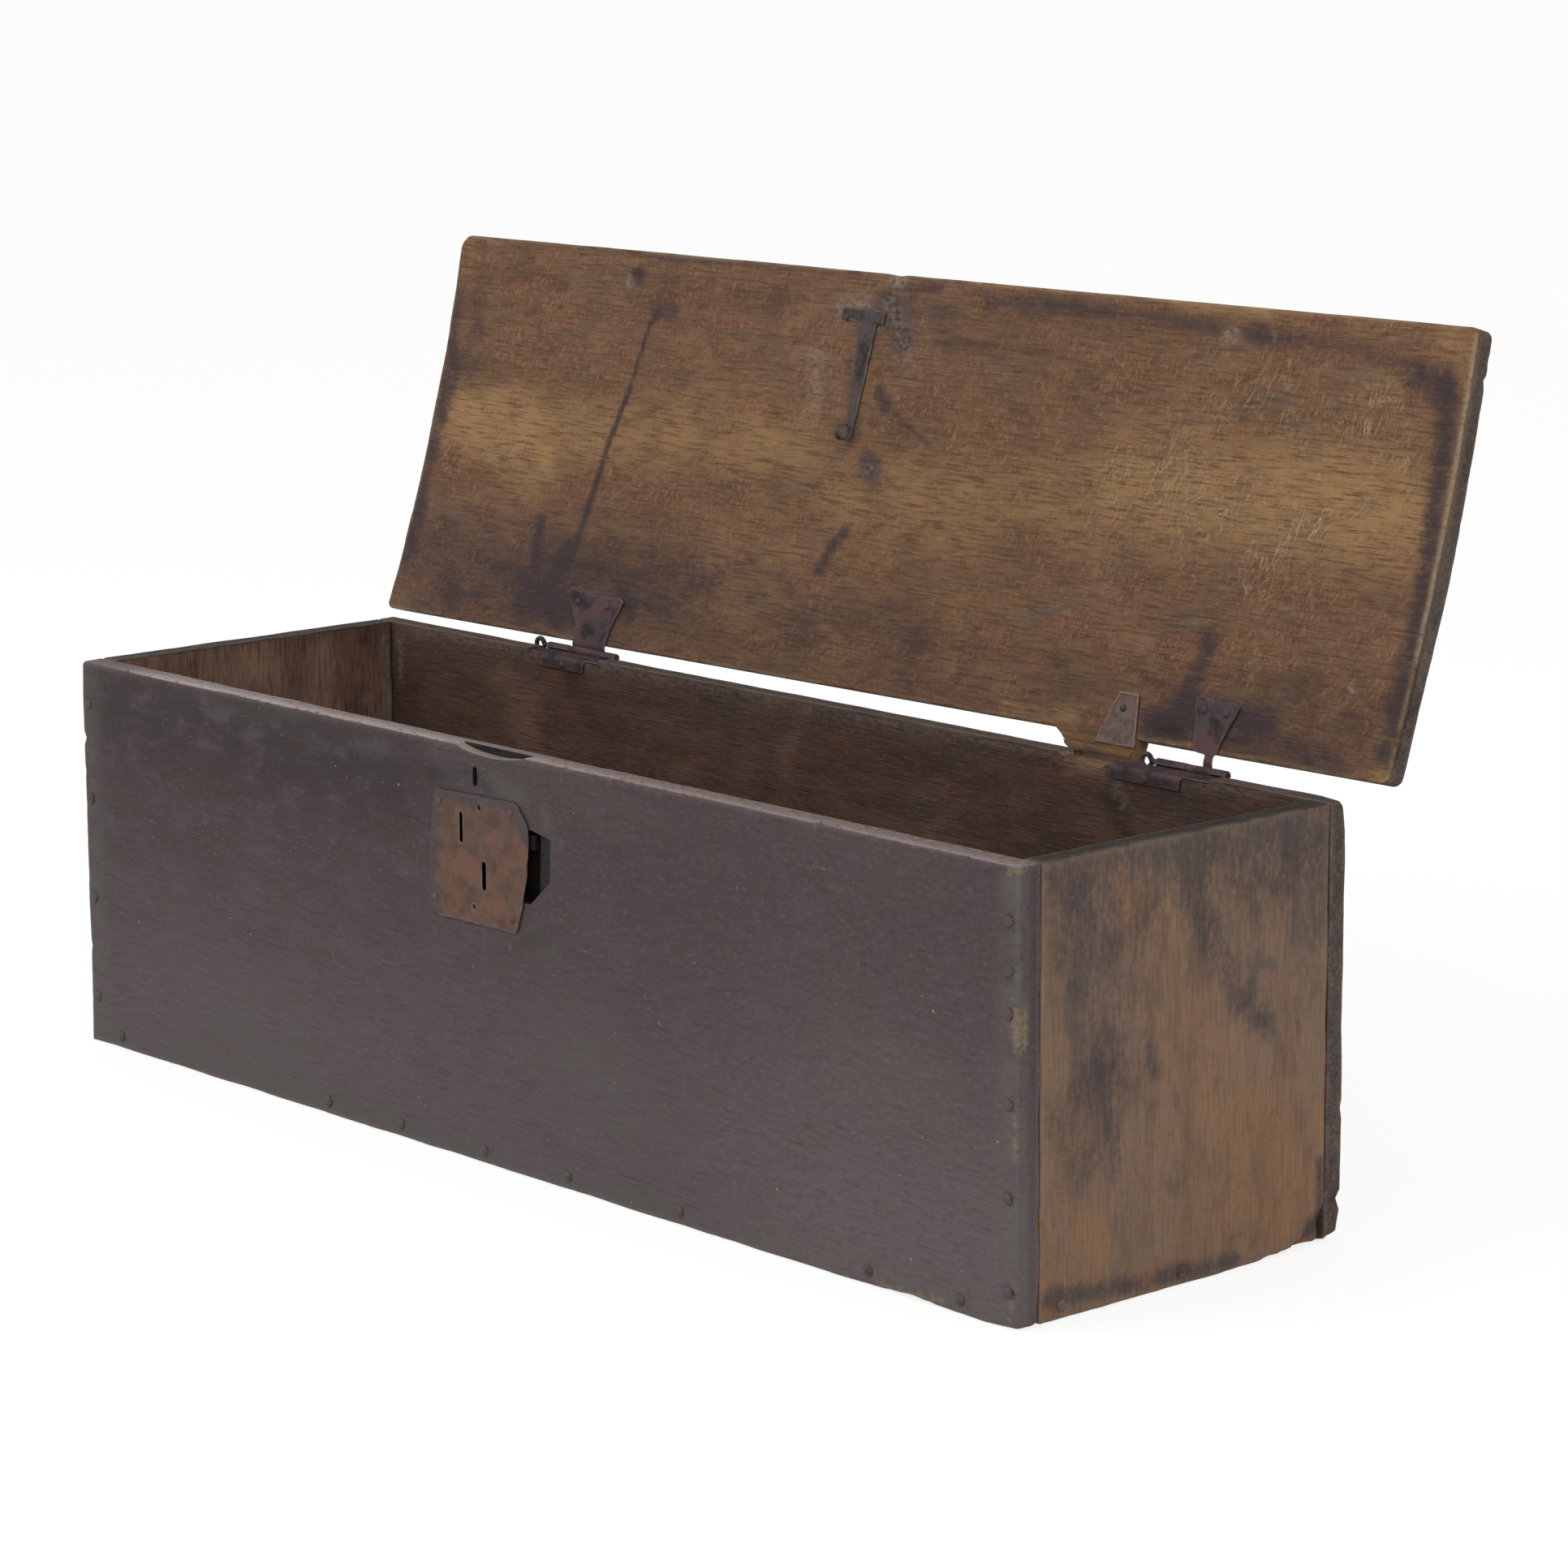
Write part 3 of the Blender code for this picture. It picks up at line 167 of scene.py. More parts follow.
# The tones of a wood, and its feel: the range of its roughness, then the strength of each thing seen in it.
Timber = namedtuple("Timber", "dark mid light stain gold scuff worn red grey")
Feel = namedtuple("Feel", "roughness pores blotches warmth tooth scratches streaks")

# Year rings cut lengthwise, their fine lines, handling clouds, stains, changes of hue, dents and open pores.
# Pores are 0.3 mm wide on the real board, and are drawn wider so that they show.
TIMBER_PATTERNS = {
    "bands": Pattern(420, 26, 5.0, 0.6, 0.0),
    "fine": Pattern(34, 2.4, 3.0, 0.0, 0.0),
    "cloud": Pattern(130, 80, 5.0, 0.4, 7.3),
    "patch": Pattern(46, 27, 5.0, 0.5, 1.3),
    "hue": Pattern(74, 36, 5.0, 0.9, 14.2),
    "mottle": Pattern(7.0, 4.5, 4.0, 0.0, 9.7),
    "pores": Pattern(15, 1.9, 2.0, 0.0, 3.1),
}
# Torn grain and two sets of scratches. They lie across the grain, and lean by this share of their length.
LEAN = -0.30
LEANING_PATTERNS = {
    "across": Pattern(3.2, 8.5, 3.0, 1.4, 5.7),
    "strokes": Pattern(11, 46, 1.0, 0.9, 11.9),
    "swirls": Pattern(19, 38, 1.0, 1.8, 5.5),
}


def timber(name, tones, feel):
    """Old planed wood, bare: streaked along the grain, cloudy from handling, with short open pores."""
    material, tree = new_material(name)
    place = add(tree, "ShaderNodeAttribute", None, "Vector", attribute_name="timber")
    seen = spread(tree, place, TIMBER_PATTERNS)
    parts = add(tree, "ShaderNodeSeparateXYZ", {0: place}).node.outputs
    lean = add(tree, "ShaderNodeMath", {0: parts[1], 1: LEAN, 2: parts[0]}, operation="MULTIPLY_ADD")
    leaning = add(tree, "ShaderNodeCombineXYZ", {0: lean, 1: parts[1], 2: parts[2]})
    seen.update(spread(tree, leaning, LEANING_PATTERNS))
    painted = {kind: add(tree, "ShaderNodeAttribute", None, "Fac", attribute_name=kind)
               for kind in ("gold", "stain", "scuff", "wear", "scratch")}

    # Dark late wood between paler early wood, then the clouds of red and grey that age and hands have left.
    colour = lay(tree, tones.mid, tones.dark, seen["bands"], 0.42, 0.74, 0.70)
    colour = lay(tree, colour, tones.light, seen["cloud"], 0.48, 0.70, 0.50)
    colour = lay(tree, colour, tones.red, seen["hue"], 0.50, 0.66, feel.blotches)
    colour = lay(tree, colour, tones.grey, seen["hue"], 0.47, 0.32, feel.blotches)
    colour = lay(tree, colour, tones.dark, seen["patch"], 0.48, 0.72, 0.60)
    colour = lay(tree, colour, tones.light, seen["mottle"], 0.50, 0.70, 0.55)

    # Where hands have rubbed the wood it is golden; under the lid some of this gold is also a painted sheen.
    warm = add(tree, "ShaderNodeMapRange", {"Value": seen["cloud"], 1: 0.46, 2: 0.30, 3: 0.0, 4: feel.warmth})
    gold = add(tree, "ShaderNodeMath", {0: painted["gold"], 1: warm}, operation="ADD")
    colour = lay(tree, colour, tones.gold, seen["patch"], 0.72, 0.34, 1.0, 0.45, gold)
    colour = lay(tree, colour, tones.dark, seen["fine"], 0.46, 0.68, feel.streaks)
    tooth = add(tree, "ShaderNodeMapRange", {"Value": seen["hue"], 1: 0.36, 2: 0.62, 3: 0.0, 4: feel.tooth})
    colour = lay(tree, colour, tones.light, seen["across"], 0.50, 0.66, where=tooth)
    colour = lay(tree, colour, tones.dark, seen["across"], 0.46, 0.34, 0.55, where=tooth)

    # Iron and damp have stained it, with a ragged border.
    border = pile(tree, ((seen["patch"], 0.7), (seen["mottle"], 0.9)))
    ragged = add(tree, "ShaderNodeMath", {0: border, 1: 0.8}, operation="SUBTRACT")
    near = add(tree, "ShaderNodeMapRange", {"Value": painted["stain"], 1: 0.0, 2: 0.3})
    stained = add(tree, "ShaderNodeMath", {0: ragged, 1: near, 2: painted["stain"]}, operation="MULTIPLY_ADD")
    colour = lay(tree, colour, tones.stain, stained, 0.12, 0.95, 0.92)
    colour = lay(tree, colour, tones.scuff, seen["mottle"], 0.36, 0.60, where=painted["scuff"])
    colour = lay(tree, colour, tones.worn, seen["patch"], 0.36, 0.60, 0.4, where=painted["wear"])
    open_pores = add(tree, "ShaderNodeMapRange",
                     {"Value": seen["bands"], 1: 0.38, 2: 0.62, 3: 0.2, 4: feel.pores})
    colour = lay(tree, colour, tones.dark, seen["pores"], 0.58, 0.70, where=open_pores)

    if feel.scratches:
        # Pale scratches from things put in and taken out: thin lines that lean and curl.
        for kind in ("strokes", "swirls"):
            line = add(tree, "ShaderNodeMath", {0: seen[kind], 1: 0.5, 2: 0.013}, operation="COMPARE")
            broken = add(tree, "ShaderNodeMath", {0: line, 1: painted["scratch"]}, operation="MULTIPLY")
            colour = lay(tree, colour, tones.worn, seen["patch"], 0.38, 0.62, feel.scratches, where=broken)

    height = pile(tree, ((seen["fine"], 0.8), (seen["pores"], -0.8), (seen["mottle"], 0.6)))
    finish(tree, colour, seen["fine"], feel.roughness, height, 0.0012, 0.6)
    return material


# Brush lines, clouds, worn patches, dents, scores along the grain, and flecks where the paint has lifted.
PAINT_PATTERNS = {
    "brushed": Pattern(34, 2.6, 4.0, 0.5, 0.0),
    "cloudy": Pattern(330, 130, 5.0, 0.5, 4.4),
    "patchy": Pattern(48, 26, 5.0, 0.3, 9.2),
    "mottle": Pattern(7.0, 4.0, 4.0, 0.0, 1.7),
    "scored": Pattern(12, 1.6, 2.0, 0.5, 2.2),
    "fleck": Pattern(6.5, 5.0, 2.0, 0.0, 6.1),
}


def old_paint(name, high, low, tones):
    """Thin dull oil paint over grain: dry, brushed lengthwise, rubbed to grey and to wood at its edges."""
    material, tree = new_material(name)
    place = add(tree, "ShaderNodeAttribute", None, "Vector", attribute_name="timber")
    up = add(tree, "ShaderNodeSeparateXYZ", {0: place}, 1)
    seen = spread(tree, place, PAINT_PATTERNS)
    painted = {kind: add(tree, "ShaderNodeAttribute", None, "Fac", attribute_name=kind)
               for kind in ("gold", "stain", "scuff", "wear")}

    # The paint is paler towards the floor, clouded, and its brush lines are darker.
    colour = lay(tree, low, high, up, 0.02, 0.30)
    colour = lay(tree, colour, tones.scuff, seen["cloudy"], 0.50, 0.74, 0.34)
    colour = lay(tree, colour, tones.dark, seen["brushed"], 0.48, 0.70, 0.42)
    colour = lay(tree, colour, tones.red, seen["patchy"], 0.52, 0.70, 0.30)
    colour = lay(tree, colour, tones.grey, seen["patchy"], 0.46, 0.30, 0.24)
    colour = lay(tree, colour, tones.light, seen["mottle"], 0.50, 0.76, 0.31)
    colour = lay(tree, colour, tones.scuff, seen["patchy"], 0.34, 0.58, where=painted["scuff"])

    # Fine scores, pale or dark, come in groups.
    groups = add(tree, "ShaderNodeMapRange", {"Value": seen["patchy"], 1: 0.46, 2: 0.62})
    colour = lay(tree, colour, tones.light, seen["scored"], 0.66, 0.75, 0.9, where=groups)
    colour = lay(tree, colour, tones.dark, seen["scored"], 0.34, 0.24, 0.75, 0.0, groups)

    # Bare wood, dark stains, rubbed edges, and pale flecks. On the front the rubbed tone also carries painted
    # light and a painted highlight.
    bare = add(tree, "ShaderNodeMath", {0: painted["gold"], 1: seen["mottle"]}, operation="ADD")
    colour = lay(tree, colour, tones.gold, bare, 0.90, 1.30, 0.80)
    colour = lay(tree, colour, tones.stain, seen["patchy"], 0.30, 0.55, where=painted["stain"])
    colour = lay(tree, colour, tones.worn, seen["mottle"], 0.26, 0.50, where=painted["wear"])
    few = add(tree, "ShaderNodeMapRange", {"Value": seen["patchy"], 1: 0.45, 2: 0.58, 3: 0.0, 4: 0.75})
    colour = lay(tree, colour, tones.worn, seen["fleck"], 0.715, 0.765, where=few)

    height = pile(tree, ((seen["brushed"], 1.0), (seen["scored"], 0.6), (seen["mottle"], 0.5)))
    finish(tree, colour, seen["patchy"], (0.50, 0.68), height, 0.0010, 0.55)
    return material


# The tones of an iron: its scale, its usual tone, rust, rims rubbed pale (on the nails outside the chest also
# a painted highlight), and paint that has run over it.
Iron = namedtuple("Iron", "dark mid rust pale coat")

# Forge scale, pits, and blooms of rust.
IRON_PATTERNS = {
    "scale": Pattern(14, 14, 5.0, 0.4, 0.0),
    "pits": Pattern(2.6, 2.6, 3.0, 0.0, 4.0),
    "bloom": Pattern(36, 30, 4.0, 0.6, 8.0),
}


def iron(name, tones, rust=0.5, roughness=0.62, scale=1.0):
    """Wrought iron, hand forged and long rusted: brown scale with bright-rubbed rims and pits of rust; on the
    nails outside the chest the pale rims are also a painted highlight.
    """
    material, tree = new_material(name)
    seen = spread(tree, add(tree, "ShaderNodeTexCoord", None, "Object"), IRON_PATTERNS)
    rim, coat = (add(tree, "ShaderNodeAttribute", None, "Fac", attribute_name=kind)
                 for kind in ("rim", "coat"))
    colour = lay(tree, tones.mid, tones.dark, seen["scale"], 0.42, 0.66, scale)
    colour = lay(tree, colour, tones.rust, seen["bloom"], 0.62 - 0.3 * rust, 0.80 - 0.3 * rust)
    colour = lay(tree, colour, tones.dark, seen["pits"], 0.58, 0.74, 0.7 * scale)
    colour = lay(tree, colour, tones.pale, seen["scale"], 0.36, 0.60, 0.7, where=rim)
    coated = add(tree, "ShaderNodeMath", {0: seen["scale"], 1: 1.5, 2: coat}, operation="MULTIPLY_ADD")
    colour = lay(tree, colour, tones.coat, coated, 1.15, 1.50, 0.85)
    height = pile(tree, ((seen["scale"], 0.8), (seen["pits"], 0.5)))
    finish(tree, colour, seen["scale"], (roughness - 0.12, roughness + 0.12), height, 0.0010, 0.5, 0.25)
    return material


# Boards.

# Extra rounding near a place on a board, and damage that pushes its surface in.
Wear = namedtuple("Wear", "centre reach extra")
Gouge = namedtuple("Gouge", "centre half push")


def grid_lines(length, step):
    """Places along one side of a board: close together at both ends, evenly spaced between."""
    inner = length - 2 * RIM[-1]
    count = max(1, round(inner / step))
    middle = [RIM[-1] + inner * index / count for index in range(1, count)]
    return [*RIM, *middle, *(length - place for place in reversed(RIM))]


def plank_grid(size, step):
    """The surface of a box as a grid of quads: its points and its faces."""
    lines = [grid_lines(extent, step) for extent in size]
    last = [len(places) - 1 for places in lines]
    index, points, faces = {}, [], []

    def vertex(*key):
        if key not in index:
            index[key] = len(points)
            points.append(Vector(lines[axis][key[axis]] for axis in range(3)))
        return index[key]

    for fixed in range(3):
        one, two = (fixed + 1) % 3, (fixed + 2) % 3
        for side in (0, last[fixed]):
            for row in range(last[one]):
                for column in range(last[two]):
                    quad = []
                    for down, across in ((0, 0), (1, 0), (1, 1), (0, 1)):
                        key = [0, 0, 0]
                        key[fixed], key[one], key[two] = side, row + down, column + across
                        quad.append(vertex(*key))
                    faces.append(quad if side else quad[::-1])
    return points, faces


def falloff(share):
    """Smooth from one at nothing to nothing at one."""
    share = min(max(1.0 - share, 0.0), 1.0)
    return share * share * (3 - 2 * share)


def weather(points, size, arris, swell, seed, wears=(), gouges=()):
    """Round a board's arrises unevenly, let its faces swell a little, and knock out its damage."""
    shift = Vector((seed * 3.7, seed * 1.9, seed * 5.3))
    thin = min(size) * 0.45
    worn = []
    for point in points:
        # The rounding wanders along the arris, has small nicks, and is larger where the board is worn.
        radius = arris * (1.0 + 0.9 * noise.noise(Vector((point.x * 22, point.y * 22, point.z * 40)) + shift))
        radius += 0.0012 * max(0.0, noise.noise(point * 90 + shift))
        for wear in wears:
            radius += wear.extra * falloff((point - Vector(wear.centre)).length / wear.reach)
        radius = min(max(radius, 0.0004), thin)
        core = Vector(min(max(value, radius), extent - radius) for value, extent in zip(point, size))
        over = point - core
        reach = over.length
        rounded = core + over * (max(abs(value) for value in over) / reach)
        outward = over / reach

        # The faces have moved in broad waves, with fine ones along the grain.
        dip = noise.noise(Vector((point.x * 3.0, point.y * 9.0, point.z * 9.0)) + shift)
        dip += 0.45 * noise.noise(Vector((point.x * 14.0, point.y * 60.0, point.z * 60.0)) + shift)
        rounded -= outward * swell * (0.6 + 0.6 * dip)

        # Damage has a rough floor.
        for gouge in gouges:
            away = [(value - middle) / half for value, middle, half in zip(point, gouge.centre, gouge.half)]
            share = falloff(hypot(*away))
            if share > 0:
                rough = 0.75 + 0.5 * noise.noise(point * 130 + shift)
                rounded += Vector(gouge.push) * share * rough
        worn.append(rounded)
    return worn


def distance_to_path(places, path):
    """Distance of each place from a line of points, both in two dimensions."""
    path = np.array(path, float)
    best = np.full(len(places), np.inf)
    for start, end in zip(path[:-1], path[1:]):
        line = end - start
        share = np.clip(((places - start) @ line) / (line @ line), 0, 1)
        best = np.minimum(best, np.hypot(*(places - start - share[:, None] * line).T))
    return best


def paint_marks(places, sides, marks):
    """The amount of each kind of mark at every place, each mark on its own side of the board."""
    kinds = {kind: np.zeros(len(places)) for kind in ("stain", "gold", "scuff", "scratch")}
    for (side, kind), rows in marks.items():
        for reach, strength, *path in rows:
            away = distance_to_path(places[:, :2], np.array(path) / MILLIMETRES)
            share = np.clip(1 - away / (reach / MILLIMETRES), 0, 1)
            amount = strength * share * share * (3 - 2 * share) * sides[side]
            kinds[kind] = 1 - (1 - kinds[kind]) * (1 - amount)
    return kinds


def store(mesh, kinds, places=None):
    """Write painted amounts, and a board's own coordinates, to a mesh's points."""
    for kind, amount in kinds.items():
        layer = mesh.attributes.new(kind, "FLOAT", "POINT")
        layer.data.foreach_set("value", np.clip(amount, 0, 1).astype(np.float32))
    if places is not None:
        own = mesh.attributes.new("timber", "FLOAT_VECTOR", "POINT")
        own.data.foreach_set("vector", np.asarray(places, np.float32).ravel())


def edge_wear(places, size, width):
    """How near each place is to a board's arrises, from one at the edge to nothing."""
    gaps = np.stack([np.minimum(places[:, axis], size[axis] - places[:, axis]) for axis in range(3)], 1)
    second = np.sort(gaps, 1)[:, 1]
    return np.clip(1 - second / width, 0, 1)


def mesh_from(name, points, faces):
    """A mesh with its faces turned outwards."""
    mesh = bpy.data.meshes.new(name)
    mesh.from_pydata([tuple(point) for point in points], [], faces)
    shape = bmesh.new()
    shape.from_mesh(mesh)
    bmesh.ops.recalc_face_normals(shape, faces=shape.faces)
    shape.to_mesh(mesh)
    shape.free()
    return mesh


def add_piece(name, mesh, body, replaced, materials):
    """Put a finished mesh in the scene as a piece that stands for CAD nodes and rides on their body."""
    piece = bpy.data.objects.new(name, mesh)
    bpy.context.scene.collection.objects.link(piece)
    if not mesh.materials:
        for material in materials:
            mesh.materials.append(material)
    mesh.shade_smooth()
    mesh.set_sharp_from_angle(angle=radians(48))
    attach(piece, body)
    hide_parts(*replaced)
    return piece


def cut_from(mesh, cutters):
    """Cut closed shapes out of a mesh."""
    piece = bpy.data.objects.new("board_to_cut", mesh)
    bpy.context.scene.collection.objects.link(piece)
    tools = []
    for cutter in cutters:
        tool = bpy.data.objects.new("cutter", cutter)
        bpy.context.scene.collection.objects.link(tool)
        tools.append(tool)
        boolean = piece.modifiers.new("cut", "BOOLEAN")
        boolean.solver = "EXACT"
        boolean.object = tool
    evaluated = piece.evaluated_get(bpy.context.evaluated_depsgraph_get())
    cut = bpy.data.meshes.new_from_object(evaluated)
    for thing in (piece, *tools):
        bpy.data.objects.remove(thing, do_unlink=True)
    if len(cut.polygons) < len(mesh.polygons) / 2:
        raise RuntimeError("the cuts in a board failed")
    return cut


def prism(outline, near, far, far_shift=(0.0, 0.0)):
    """A closed shape between an outline in (x, z) at one depth and the same outline, shifted, at another."""
    count = len(outline)
    points = [(x, near, z) for x, z in outline]
    points += [(x + far_shift[0], far, z + far_shift[1]) for x, z in outline]
    faces = [list(range(count)), list(range(2 * count - 1, count - 1, -1))]
    for one in range(count):
        two = (one + 1) % count
        faces.append([one, two, count + two, count + one])
    return mesh_from("cutter", points, faces)


# Edges round each end of a slot.
SLOT_END_STEPS = 6


def slot_outline(x, low, high, width):
    """An upright slot with round ends."""
    half = width / 2
    turns = [pi * index / SLOT_END_STEPS for index in range(SLOT_END_STEPS + 1)]
    top = [(x + half * cos(turn), high - half + half * sin(turn)) for turn in turns]
    foot = [(x - half * cos(turn), low + half - half * sin(turn)) for turn in turns]
    return top + foot


# A board's axes run along its grain, across it and through it. Outward is the way its outer face looks.
Board = namedtuple("Board", "node axes outward step seed wears gouges marks slot")


def board_frame(board):
    """Corner and directions of a board: along its grain, across it, and in from its outer face."""
    low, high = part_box(board.node)
    through = board.axes[2]
    corner = low.copy()
    ways = []
    for axis in board.axes:
        way = Vector((0.0, 0.0, 0.0))
        way[axis] = 1.0
        ways.append(way)
    if board.outward > 0:
        corner[through] = high[through]
        ways[2].negate()
    size = Vector(high[axis] - low[axis] for axis in board.axes)
    return corner, ways, size


def local_places(mesh, corner, ways):
    """A mesh's points in a board's own coordinates."""
    points = np.zeros(len(mesh.vertices) * 3, np.float32)
    mesh.vertices.foreach_get("co", points)
    return (points.reshape(-1, 3) - np.array(corner)) @ np.array(ways).T


# What the faces of a board are made of, in the order of its materials.
OUTER, INNER, CUT_IN_SHADE, END_GRAIN, RUBBED = range(5)

# Where the cuts in the front lie: how deep in the board, how far from its middle, and above what height.
CUT_DEPTHS = (0.0012, 0.0178)
CUT_HALF_WIDTH = 0.085
CUT_FOOT = 0.230

# The scoop is above this height, and the floors of the cuts in the back board are below this one.
SCOOP_FOOT = 0.350
BACK_CUTS_TOP = 0.3615

# How squarely a face looks through a board, along it or upwards, and how deep in the board its inner side is.
LOOKS_THROUGH = 0.7
LOOKS_ALONG = 0.75
LOOKS_UP = 0.5
BACK_LOOKS_UP = 0.3
INNER_SHARE = 0.8


def face_values(mesh, name):
    """The normals or the centres of a mesh's faces, one row each."""
    values = np.zeros(len(mesh.polygons) * 3, np.float32)
    mesh.polygons.foreach_get(name, values)
    return values.reshape(-1, 3)


def sort_faces(mesh, board, corner, ways, size):
    """Choose a material for each face: outer or inner side, cuts darkened with painted shade, sawn ends, or
    the rubbed scoop.
    """
    normals, centres = face_values(mesh, "normal"), face_values(mesh, "center")
    height, upward = centres[:, 2], normals[:, 2]
    depth = (centres - np.array(corner)) @ np.array(ways[2])
    facing = normals @ np.array(ways[2])
    chosen = np.where((facing > LOOKS_THROUGH) & (depth > size[2] * INNER_SHARE), INNER, OUTER)
    if board.node == "front_board":
        within = (depth > CUT_DEPTHS[0]) & (depth < CUT_DEPTHS[1]) & (height > CUT_FOOT)
        within &= abs(centres[:, 0]) < CUT_HALF_WIDTH
        scoop = height > SCOOP_FOOT
        # Painted shade: the pocket, the old slot and the scoop's back wall get a near-black wood.
        chosen[within & (~scoop | (facing < -LOOKS_THROUGH))] = CUT_IN_SHADE
        chosen[within & scoop & (upward > LOOKS_UP) & (depth < SCOOP_DEPTH)] = RUBBED
    else:
        chosen[abs(normals @ np.array(ways[0])) > LOOKS_ALONG] = END_GRAIN
    if board.node == "back_board":
        chosen[(upward > BACK_LOOKS_UP) & (height < BACK_CUTS_TOP)] = INNER
    mesh.polygons.foreach_set("material_index", chosen.astype(np.int32))


X, Y, Z = 0, 1, 2

# Marks on the boards, by side and kind. A row is a mark's reach and strength, then the points of its path.
# Reach and points are millimetres. The points lie along and across the board, where the world has them.
FRONT_MARKS = {
    ("outer", "scuff"): (
        (26, 0.9, (-612, 20), (-612, 345)), (22, 0.8, (-600, 8), (600, 8)),
        (24, 1.0, (618, 20), (618, 350)), (20, 0.6, (-80, 338), (-10, 336), (30, 330)),
        (18, 0.7, (20, 206), (64, 210)), (12, 0.6, (60, 326), (66, 300)),
        (90, 0.55, (92, 110), (150, 90)), (100, 0.5, (-420, 60), (-300, 40)),
    ),
    ("outer", "gold"): (
        (14, 0.75, (622, 225), (622, 250)), (9, 0.6, (621, 130), (621, 170)),
        (12, 0.65, (470, 3), (540, 6)), (12, 0.6, (616, 12), (620, 34)),
        (12, 0.62, (614, 358), (624, 362)),
    ),
    ("outer", "stain"): (
        (17, 0.70, (-92, 334), (-40, 338), (-20, 330)), (16, 0.5, (22, 204), (60, 214)),
        # The two broad rows on the next line darken the upper left of the front.
        (90, 0.52, (-560, 330), (-150, 330)), (170, 0.16, (-560, 230), (-200, 250)),
    ),
    ("inner", "stain"): (
        (120, 0.4, (-500, 60), (500, 60)),
    ),
}
END_MARKS = {
    ("outer", "stain"): (
        (32, 0.52, (350, 14), (309, 12), (267, 30), (226, 58), (200, 84)),
        (16, 0.30, (196, 88), (160, 114), (120, 128)), (26, 0.24, (340, 60), (300, 70), (240, 84)),
        (140, 0.54, (360, -150), (355, 0), (355, 150)), (60, 0.28, (330, 120), (250, 140), (190, 150)),
        (36, 0.48, (345, -128), (300, -124), (250, -118), (180, -112)),
        (30, 0.32, (212, -88), (190, -90)), (66, 0.41, (275, -80), (200, -60), (140, -100)),
        (50, 0.20, (345, 105), (332, 168)), (46, 0.36, (170, -136), (118, -128)),
        (14, 0.42, (200, -40), (178, -36)), (22, 0.38, (190, -100), (100, -70), (50, -66)),
        (12, 0.40, (100, -8), (80, -10)), (12, 0.75, (70, 158), (26, 160)),
        (16, 1.0, (16, 148), (26, 174)), (18, 0.70, (20, -150), (12, -60), (8, 20), (8, 60)),
    ),
    ("outer", "gold"): (
        (66, 0.78, (106, 94), (58, 122)), (27, 0.8, (332, -66), (312, -58)),
        (34, 0.35, (302, -30), (280, -20)), (30, 0.65, (70, -112), (40, -96)),
        (14, 1.0, (12, -46), (10, -34)), (9, 0.9, (118, 157), (95, 158)),
        (80, 0.40, (220, 10), (120, 40), (60, 70)), (44, 0.55, (60, 60), (30, 130)),
    ),
    ("outer", "scuff"): (
        (16, 0.7, (355, -60), (352, 40), (350, 150)), (50, 0.25, (70, 50), (40, 130)),
    ),
    ("inner", "stain"): (
        (140, 0.5, (60, -100), (60, 100)),
    ),
}
BACK_MARKS = {
    ("inner", "stain"): (
        (170, 0.35, (-560, 180), (560, 120)), (40, 0.5, (-330, 350), (-290, 300)),
        (30, 0.6, (380, 330), (400, 300)),
    ),
    ("inner", "scuff"): (
        (10, 0.9, (-594, 350), (-592, 310)), (6, 1.0, (388, 345), (394, 328)),
        (7, 0.35, (-560, 360), (560, 360)),
    ),
    ("inner", "gold"): (
        (40, 0.16, (-420, 320), (-380, 250)), (12, 0.35, (330, 354), (366, 352)),
    ),
    ("outer", "gold"): (
        (12, 0.35, (330, 354), (366, 352)),
    ),
}
LEFT_MARKS = {
    ("inner", "gold"): (
        (220, 0.62, (340, -90), (220, 100)), (30, 0.6, (350, -134), (330, -142)),
        (45, 0.72, (345, 0), (250, 0)), (24, 0.72, (345, 82), (250, 85)),
    ),
    ("inner", "stain"): (
        (36, 0.42, (345, -75), (250, -75)), (12, 0.45, (345, 52), (250, 52)),
        (26, 0.40, (345, 125), (250, 125)), (160, 0.5, (60, -100), (60, 100)),
    ),
    ("inner", "scuff"): (
        (8, 1.0, (350, 157), (240, 160)),
    ),
}
BOTTOM_MARKS = {("inner", "stain"): ((180, 0.45, (-500, 0), (500, 0)),)}

# Wear and damage, in metres from each board's own corner.
FRONT_WEARS = [Wear((1.250, 0.0, 0.0), 0.040, 0.0060), Wear((1.250, 0.365, 0.0), 0.022, 0.0035),
               Wear((0.0, 0.365, 0.0), 0.030, 0.0020), Wear((0.62, 0.365, 0.0), 0.50, 0.0012)]
FRONT_GOUGES = [Gouge((0.0, 0.292, 0.004), (0.010, 0.006, 0.030), (0.0040, 0.0, 0.0)),
                Gouge((0.0, 0.262, 0.004), (0.008, 0.004, 0.030), (0.0028, 0.0, 0.0)),
                Gouge((0.0, 0.094, 0.004), (0.009, 0.006, 0.030), (0.0032, 0.0, 0.0)),
                Gouge((1.028, 0.365, 0.0), (0.012, 0.006, 0.008), (0.0, -0.0028, 0.001)),
                Gouge((0.232, 0.365, 0.0), (0.030, 0.005, 0.006), (0.0, -0.0020, 0.001)),
                Gouge((1.245, 0.028, 0.0), (0.008, 0.005, 0.006), (0.0, 0.0, 0.004)),
                Gouge((1.130, 0.0, 0.0), (0.050, 0.006, 0.010), (0.0, 0.0030, 0.0))]
END_WEARS = [Wear((0.0, 0.32, 0.0), 0.030, 0.0050)]
END_GOUGES = [Gouge((0.0, 0.302, 0.0), (0.016, 0.030, 0.016), (0.0100, 0.0, 0.004)),
              Gouge((0.014, 0.322, 0.0), (0.024, 0.012, 0.010), (0.002, 0.0, 0.0080)),
              Gouge((0.0, 0.270, 0.0), (0.008, 0.028, 0.010), (0.0040, 0.0, 0.001))]
BACK_WEARS = [Wear((1.250, 0.0, 0.0), 0.030, 0.0080), Wear((1.250, 0.365, 0.0), 0.030, 0.0050)]
